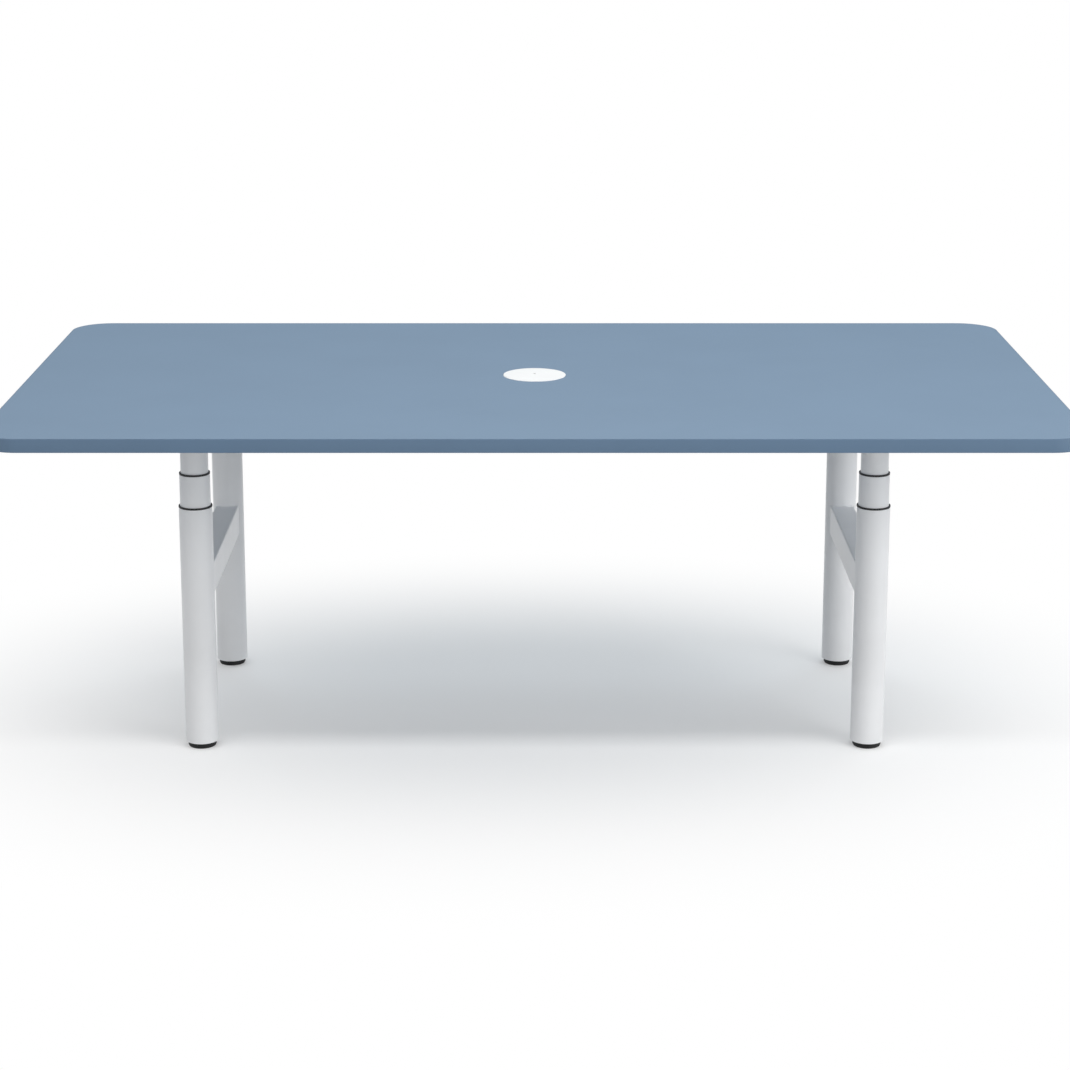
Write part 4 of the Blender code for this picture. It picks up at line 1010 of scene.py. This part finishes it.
def make_handset():
    shape = bmesh.new()
    front_y = HANDSET_HIGH.y - HANDSET_SPLIT
    groove = FINE_GROOVE
    add_block(shape, HANDSET_LOW, (HANDSET_HIGH.x, front_y - groove, HANDSET_HIGH.z), HANDSET_EDGE)
    add_block(shape, (HANDSET_LOW.x + groove, front_y - HANDSET_TONGUE, HANDSET_LOW.z + groove),
              (HANDSET_HIGH.x - groove, front_y + HANDSET_TONGUE, HANDSET_HIGH.z - groove))
    add_block(shape, (HANDSET_LOW.x, front_y + groove, HANDSET_LOW.z), HANDSET_HIGH, HANDSET_EDGE)
    housing = finish_piece("handset_housing", shape, CASE_PLASTIC, "top", ["handset"])
    cutter = bmesh.new()
    for key in ("button_up", "button_down"):
        low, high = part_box(key)
        add_block(cutter, (low.x - KEY_CLEARANCE, low.y - KEY_TRAVEL_ROOM, low.z - KEY_CLEARANCE),
                  (high.x + KEY_CLEARANCE, HANDSET_HIGH.y + 2 * PAST, high.z + KEY_CLEARANCE))
    cut(housing, cutter)
    for key, up in (("button_up", 1), ("button_down", -1)):
        low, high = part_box(key)
        shape = bmesh.new()
        add_block(shape, low, (high.x, high.y - KEY_SETBACK, high.z), KEY_EDGE, 4)
        finish_piece(key + "_cap", shape, BUTTON_PLASTIC, key + "_key", [key])
        shape = bmesh.new()
        middle = (low + high) / 2
        add_triangle(shape, (middle.x, high.y - 2 * KEY_SETBACK, middle.z), SYMBOL_SIZE, up,
                     SYMBOL_THICKNESS)
        finish_piece(key + "_symbol", shape, SYMBOL_INK, key + "_key")
    holes = bmesh.new()
    middle = (HANDSET_LOW + HANDSET_HIGH) / 2
    screw_y = middle.y - (HANDSET_HIGH.y - HANDSET_LOW.y) / 8
    hole_r, depth = HANDSET_SCREW_HOLE
    places = [(middle.x + end * HANDSET_SCREW_SPACING / 2, screw_y, HANDSET_LOW.z + depth)
              for end in (-1, 1)]
    for x, y, seat in places:
        add_loft(holes, [circle_points(hole_r, (x, y, HANDSET_LOW.z - PAST)),
                         circle_points(hole_r, (x, y, seat))])
    cut(housing, holes)
    make_fasteners("handset_screws", add_pan_screw, places, (0, 0, -1))


def smooth_path(points, spacing):
    """Evenly spaced points on a smooth curve through the given ones, with no loop at an uneven step."""
    tangents = [points[1] - points[0]]
    for before, here, after in zip(points, points[1:], points[2:]):
        shorter = min((here - before).length, (after - here).length)
        tangents.append((after - before).normalized() * shorter)
    tangents.append(points[-1] - points[-2])
    path = []
    for start, end, leaving, arriving in zip(points, points[1:], tangents, tangents[1:]):
        steps = max(1, round((end - start).length / spacing))
        for step in range(steps):
            t = step / steps
            path.append(start * (2 * t ** 3 - 3 * t ** 2 + 1) + leaving * (t ** 3 - 2 * t ** 2 + t)
                        + end * (3 * t ** 2 - 2 * t ** 3) + arriving * (t ** 3 - t ** 2))
    path.append(points[-1])
    return path


def plug_entry(x):
    """The last two points of a lead, in the plug's rear face."""
    face = PLUG_LOW_Y + PLUG_SIZE[1]
    height = BOARD_Z - PLUG_SIZE[2] / 2
    return [(x, face + 4 * LEAD_R, height), (x, face - 2 * LEAD_R, height)]


def motor_lead_points(column):
    """The route of a motor's lead, as the CAD part has it."""
    sx, sy = COLUMNS[column]
    low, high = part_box("gear_motor_" + column)
    motor_end = abs(low.y if sy > 0 else high.y)
    motor_z = (low.z + high.z) / 2
    flange_x = AXIS_X - CHANNEL_WEB / 2
    rise = LEAD_Z - motor_z
    lane = LEAD_LANE_Y if sy > 0 else LEAD_LANE_Y - LEAD_LANE_STEP
    end_x = BOX_X + sx * (1 if sy > 0 else 2) * LEAD_PITCH
    lane_start = BOX_X + sx * ((BOX_HIGH.x - BOX_LOW.x) / 2 - EAR_LENGTH + 0.080)
    points = [
        (sx * AXIS_X, sy * (motor_end + LEAD_PLUG_IN), motor_z),
        (sx * AXIS_X, sy * (motor_end - 0.008), motor_z),
        (sx * (AXIS_X - 0.006), sy * (LEAD_LANE_Y + 0.012), motor_z + 0.25 * rise),
        (sx * (AXIS_X - 0.018), sy * (LEAD_LANE_Y + 0.002), motor_z + 0.80 * rise),
        (sx * (flange_x + SHEET_WALL), sy * LEAD_LANE_Y, LEAD_Z),
        (sx * (flange_x - 0.030), sy * LEAD_LANE_Y, LEAD_Z),
    ]
    if sy < 0:
        points.append((sx * (AXIS_X - 0.120), -LEAD_LANE_Y * 0.75, LEAD_Z))
        points.append((lane_start + sx * 0.060, lane * 0.80, LEAD_Z))
    points.append((lane_start, lane, LEAD_Z))
    points.append((end_x + sx * 0.040, lane, LEAD_Z))
    points.append((end_x + sx * 0.010, lane - 0.008, LEAD_Z))
    return points + plug_entry(end_x)


def handset_lead_points():
    """The route of the handset's lead, as the CAD part has it."""
    x = (HANDSET_LOW.x + HANDSET_HIGH.x) / 2
    front = HANDSET_LOW.y
    low = LEAD_Z - 0.003
    rail_y = (RAIL_LOW.y + RAIL_HIGH.y) / 2
    return [
        (x, front + LEAD_PLUG_IN, low),
        (x, front - 0.010, low),
        (x, front - 0.040, LEAD_Z),
        (x - 0.040, front - 0.110, LEAD_Z),
        (BOX_X + 0.110, rail_y + 0.140, LEAD_Z),
        (BOX_X + 0.015, rail_y + 0.080, LEAD_Z),
        (BOX_X, RAIL_HIGH.y, LEAD_Z),
        (BOX_X, RAIL_LOW.y, LEAD_Z),
        (BOX_X, rail_y - 0.060, LEAD_Z),
        *plug_entry(BOX_X),
    ]


def add_clip(shape, place, along):
    """A saddle clip over a lead, screwed to the board's underside."""
    along = Vector((along.x, along.y, 0.0)).normalized()
    across = Vector((-along.y, along.x, 0.0))
    reach, sole = CLIP_FOOT
    inner = LEAD_R + CLIP_WALL / 5
    outer = inner + CLIP_WALL
    turns = [math.radians(20 * step) for step in range(10)]

    def arch(radius):
        return [(-radius * math.cos(a), -TOUCH - LEAD_R - radius * math.sin(a)) for a in turns]

    section = [(-reach, 0.0), (-reach, -sole), (-outer, -sole), *arch(outer), (outer, -sole),
               (reach, -sole), (reach, 0.0), (inner, 0.0),
               *((-u, w) for u, w in arch(inner)), (-inner, 0.0)]
    rings = [[Vector((place.x, place.y, BOARD_Z)) + across * u + Vector((0, 0, w)) + along * s
              for u, w in section] for s in (-CLIP_WIDTH / 2, CLIP_WIDTH / 2)]
    add_loft(shape, rings)


def make_loom():
    shape = bmesh.new()
    clips = bmesh.new()
    routes = [(motor_lead_points(column), FRONT_CLIPS if place[1] < 0 else REAR_CLIPS)
              for column, place in COLUMNS.items()]
    routes.append((handset_lead_points(), FRONT_CLIPS))
    for route, shares in routes:
        path = smooth_path([Vector(point) for point in route], LEAD_SPACING)
        add_sweep(shape, path, LEAD_R, LEAD_STEPS)
        for share in shares:
            index = round(share * (len(path) - 1))
            if abs(path[index].z - LEAD_Z) < TOUCH:
                add_clip(clips, path[index], path[index + 1] - path[index - 1])
    finish_piece("loom_leads", shape, LEAD_JACKET, "top", ["wiring_loom"])
    finish_piece("lead_clips", clips, CASE_PLASTIC)
    shape = bmesh.new()
    length, depth, height = PLUG_SIZE
    add_block(shape, (BOX_X - length / 2, PLUG_LOW_Y, BOARD_Z - TOUCH - height),
              (BOX_X + length / 2, PLUG_LOW_Y + depth, BOARD_Z - TOUCH), PLUG_EDGE)
    root_r, tip_r, reach = PLUG_SLEEVE
    for step in range(-2, 3):
        place = turned_frame((BOX_X + step * LEAD_PITCH, PLUG_LOW_Y + depth - TOUCH, BOARD_Z - height / 2),
                             (0, 1, 0))
        rings = [disc(root_r + (tip_r - root_r) * share, reach * share, SLEEVE_STEPS)
                 for share in (0.0, 0.25, 0.5, 0.75, 1.0)]
        add_loft(shape, placed(rings, place))
    finish_piece("loom_plug", shape, LEAD_JACKET)


# Stage

def make_floor():
    """A white floor that keeps the table's soft shadow, lightened by a painted white glow that grows to
    plain white away from the table.

    Other rays than the camera's and a reflection's see it darker, so it throws up little light.
    """
    shape = bmesh.new()
    bmesh.ops.create_grid(shape, x_segments=1, y_segments=1, size=FLOOR_HALF)
    floor = new_object("floor", take_mesh("floor", shape))
    floor.location.z = -FLOOR_DROP
    finish, tree, shader, place = new_material("floor_paper")
    tree.nodes.remove(shader)
    grain = add_noise(tree, place, FLOOR_GRAIN)
    colours = add_colours(tree, grain, shade(FLOOR_COLOUR, 0.995), FLOOR_COLOUR)
    paper = add_node(tree, "ShaderNodeBsdfDiffuse", {"Color": colours})
    # A painted white glow that the camera and reflections see: a small share near the table lightens its
    # shadow, and away from the table it washes the shadow out to plain white.
    white = add_node(tree, "ShaderNodeEmission", {"Color": WHITE})
    spread = add_node(tree, "ShaderNodeVectorMath", {0: place, 1: FADE_SHAPE}, operation="MULTIPLY")
    length = add_node(tree, "ShaderNodeVectorMath", {0: spread.outputs["Vector"]}, operation="LENGTH")
    inputs = {"Value": length.outputs["Value"], "From Min": FADE_START, "From Max": FADE_END,
              "To Min": FLOOR_PAINTED_GLOW}
    painted_glow = add_node(tree, "ShaderNodeMapRange", inputs, interpolation_type="SMOOTHSTEP")
    seen = add_node(tree, "ShaderNodeLightPath").outputs
    watched = add_math(tree, "MAXIMUM", seen["Is Camera Ray"], seen["Is Glossy Ray"])
    share = add_math(tree, "MULTIPLY", painted_glow.outputs["Result"], watched)
    shown = add_mix(tree, share, paper.outputs["BSDF"], white.outputs["Emission"])
    bounce = add_node(tree, "ShaderNodeBsdfDiffuse", {"Color": (*FLOOR_BOUNCE, 1.0)})
    whole = add_mix(tree, watched, bounce.outputs["BSDF"], shown)
    set_inputs(tree, tree.nodes["Material Output"], {"Surface": whole})
    floor.data.materials.append(finish)


def make_world():
    """Soft light of another strength from each side, and plain white where the camera sees it."""
    world = bpy.data.worlds.new("studio")
    bpy.context.scene.world = world
    world.use_nodes = True
    tree = world.node_tree
    tree.nodes.clear()
    place = add_node(tree, "ShaderNodeTexCoord").outputs["Generated"]
    parts = add_node(tree, "ShaderNodeSeparateXYZ", {"Vector": place}).outputs
    total = 0.0
    for axis, (low_side, high_side) in WORLD_SIDES.items():
        on_high_side = add_math(tree, "GREATER_THAN", parts[axis], 0.0)
        inputs = {"Value": on_high_side, "To Min": low_side, "To Max": high_side}
        side = add_node(tree, "ShaderNodeMapRange", inputs).outputs["Result"]
        square = add_math(tree, "MULTIPLY", parts[axis], parts[axis])
        total = add_math(tree, "ADD", total, add_math(tree, "MULTIPLY", square, side))
    light = add_node(tree, "ShaderNodeBackground", {"Color": WHITE, "Strength": total})
    white = add_node(tree, "ShaderNodeBackground", {"Color": WHITE})
    seen = add_node(tree, "ShaderNodeLightPath").outputs
    watched = add_math(tree, "MAXIMUM", seen["Is Camera Ray"], seen["Is Transmission Ray"])
    shown = add_mix(tree, watched, light.outputs["Background"], white.outputs["Background"])
    add_node(tree, "ShaderNodeOutputWorld", {"Surface": shown})


def make_lights():
    """A long strip over the front, a softbox at the right and a cool one at the rear."""
    for name, (place, target, size, power, colour) in LAMPS.items():
        lamp = bpy.data.lights.new(name, "AREA")
        lamp.shape = "RECTANGLE"
        lamp.size, lamp.size_y = size
        lamp.energy = power
        lamp.color = colour
        thing = new_object(name, lamp)
        thing.location = place
        thing.rotation_euler = (Vector(target) - Vector(place)).to_track_quat("-Z", "Y").to_euler()


def make_camera():
    """The photograph's viewpoint, with most of its shift as a tilt, which suits the other views."""
    view = bpy.data.cameras.new("camera")
    view.sensor_width = 36.0
    view.lens = LENS
    view.shift_y = LENS_SHIFT
    view.clip_end = 100.0
    camera = new_object("camera", view)
    camera.location = CAMERA_PLACE
    camera.rotation_euler = (math.radians(90 - CAMERA_TILT), 0.0, 0.0)
    bpy.context.scene.camera = camera


def build_scene():
    make_board()
    make_hub()
    make_columns()
    dress_inner_nodes()
    for name, side in SIDES.items():
        make_beam(name, side)
        make_channel(name, side)
    make_rail("front", -1)
    make_rail("rear", 1)
    make_control_box()
    make_handset()
    make_loom()
    make_floor()
    make_world()
    make_lights()
    make_camera()
    bpy.context.scene.view_settings.view_transform = "Standard"


build_scene()
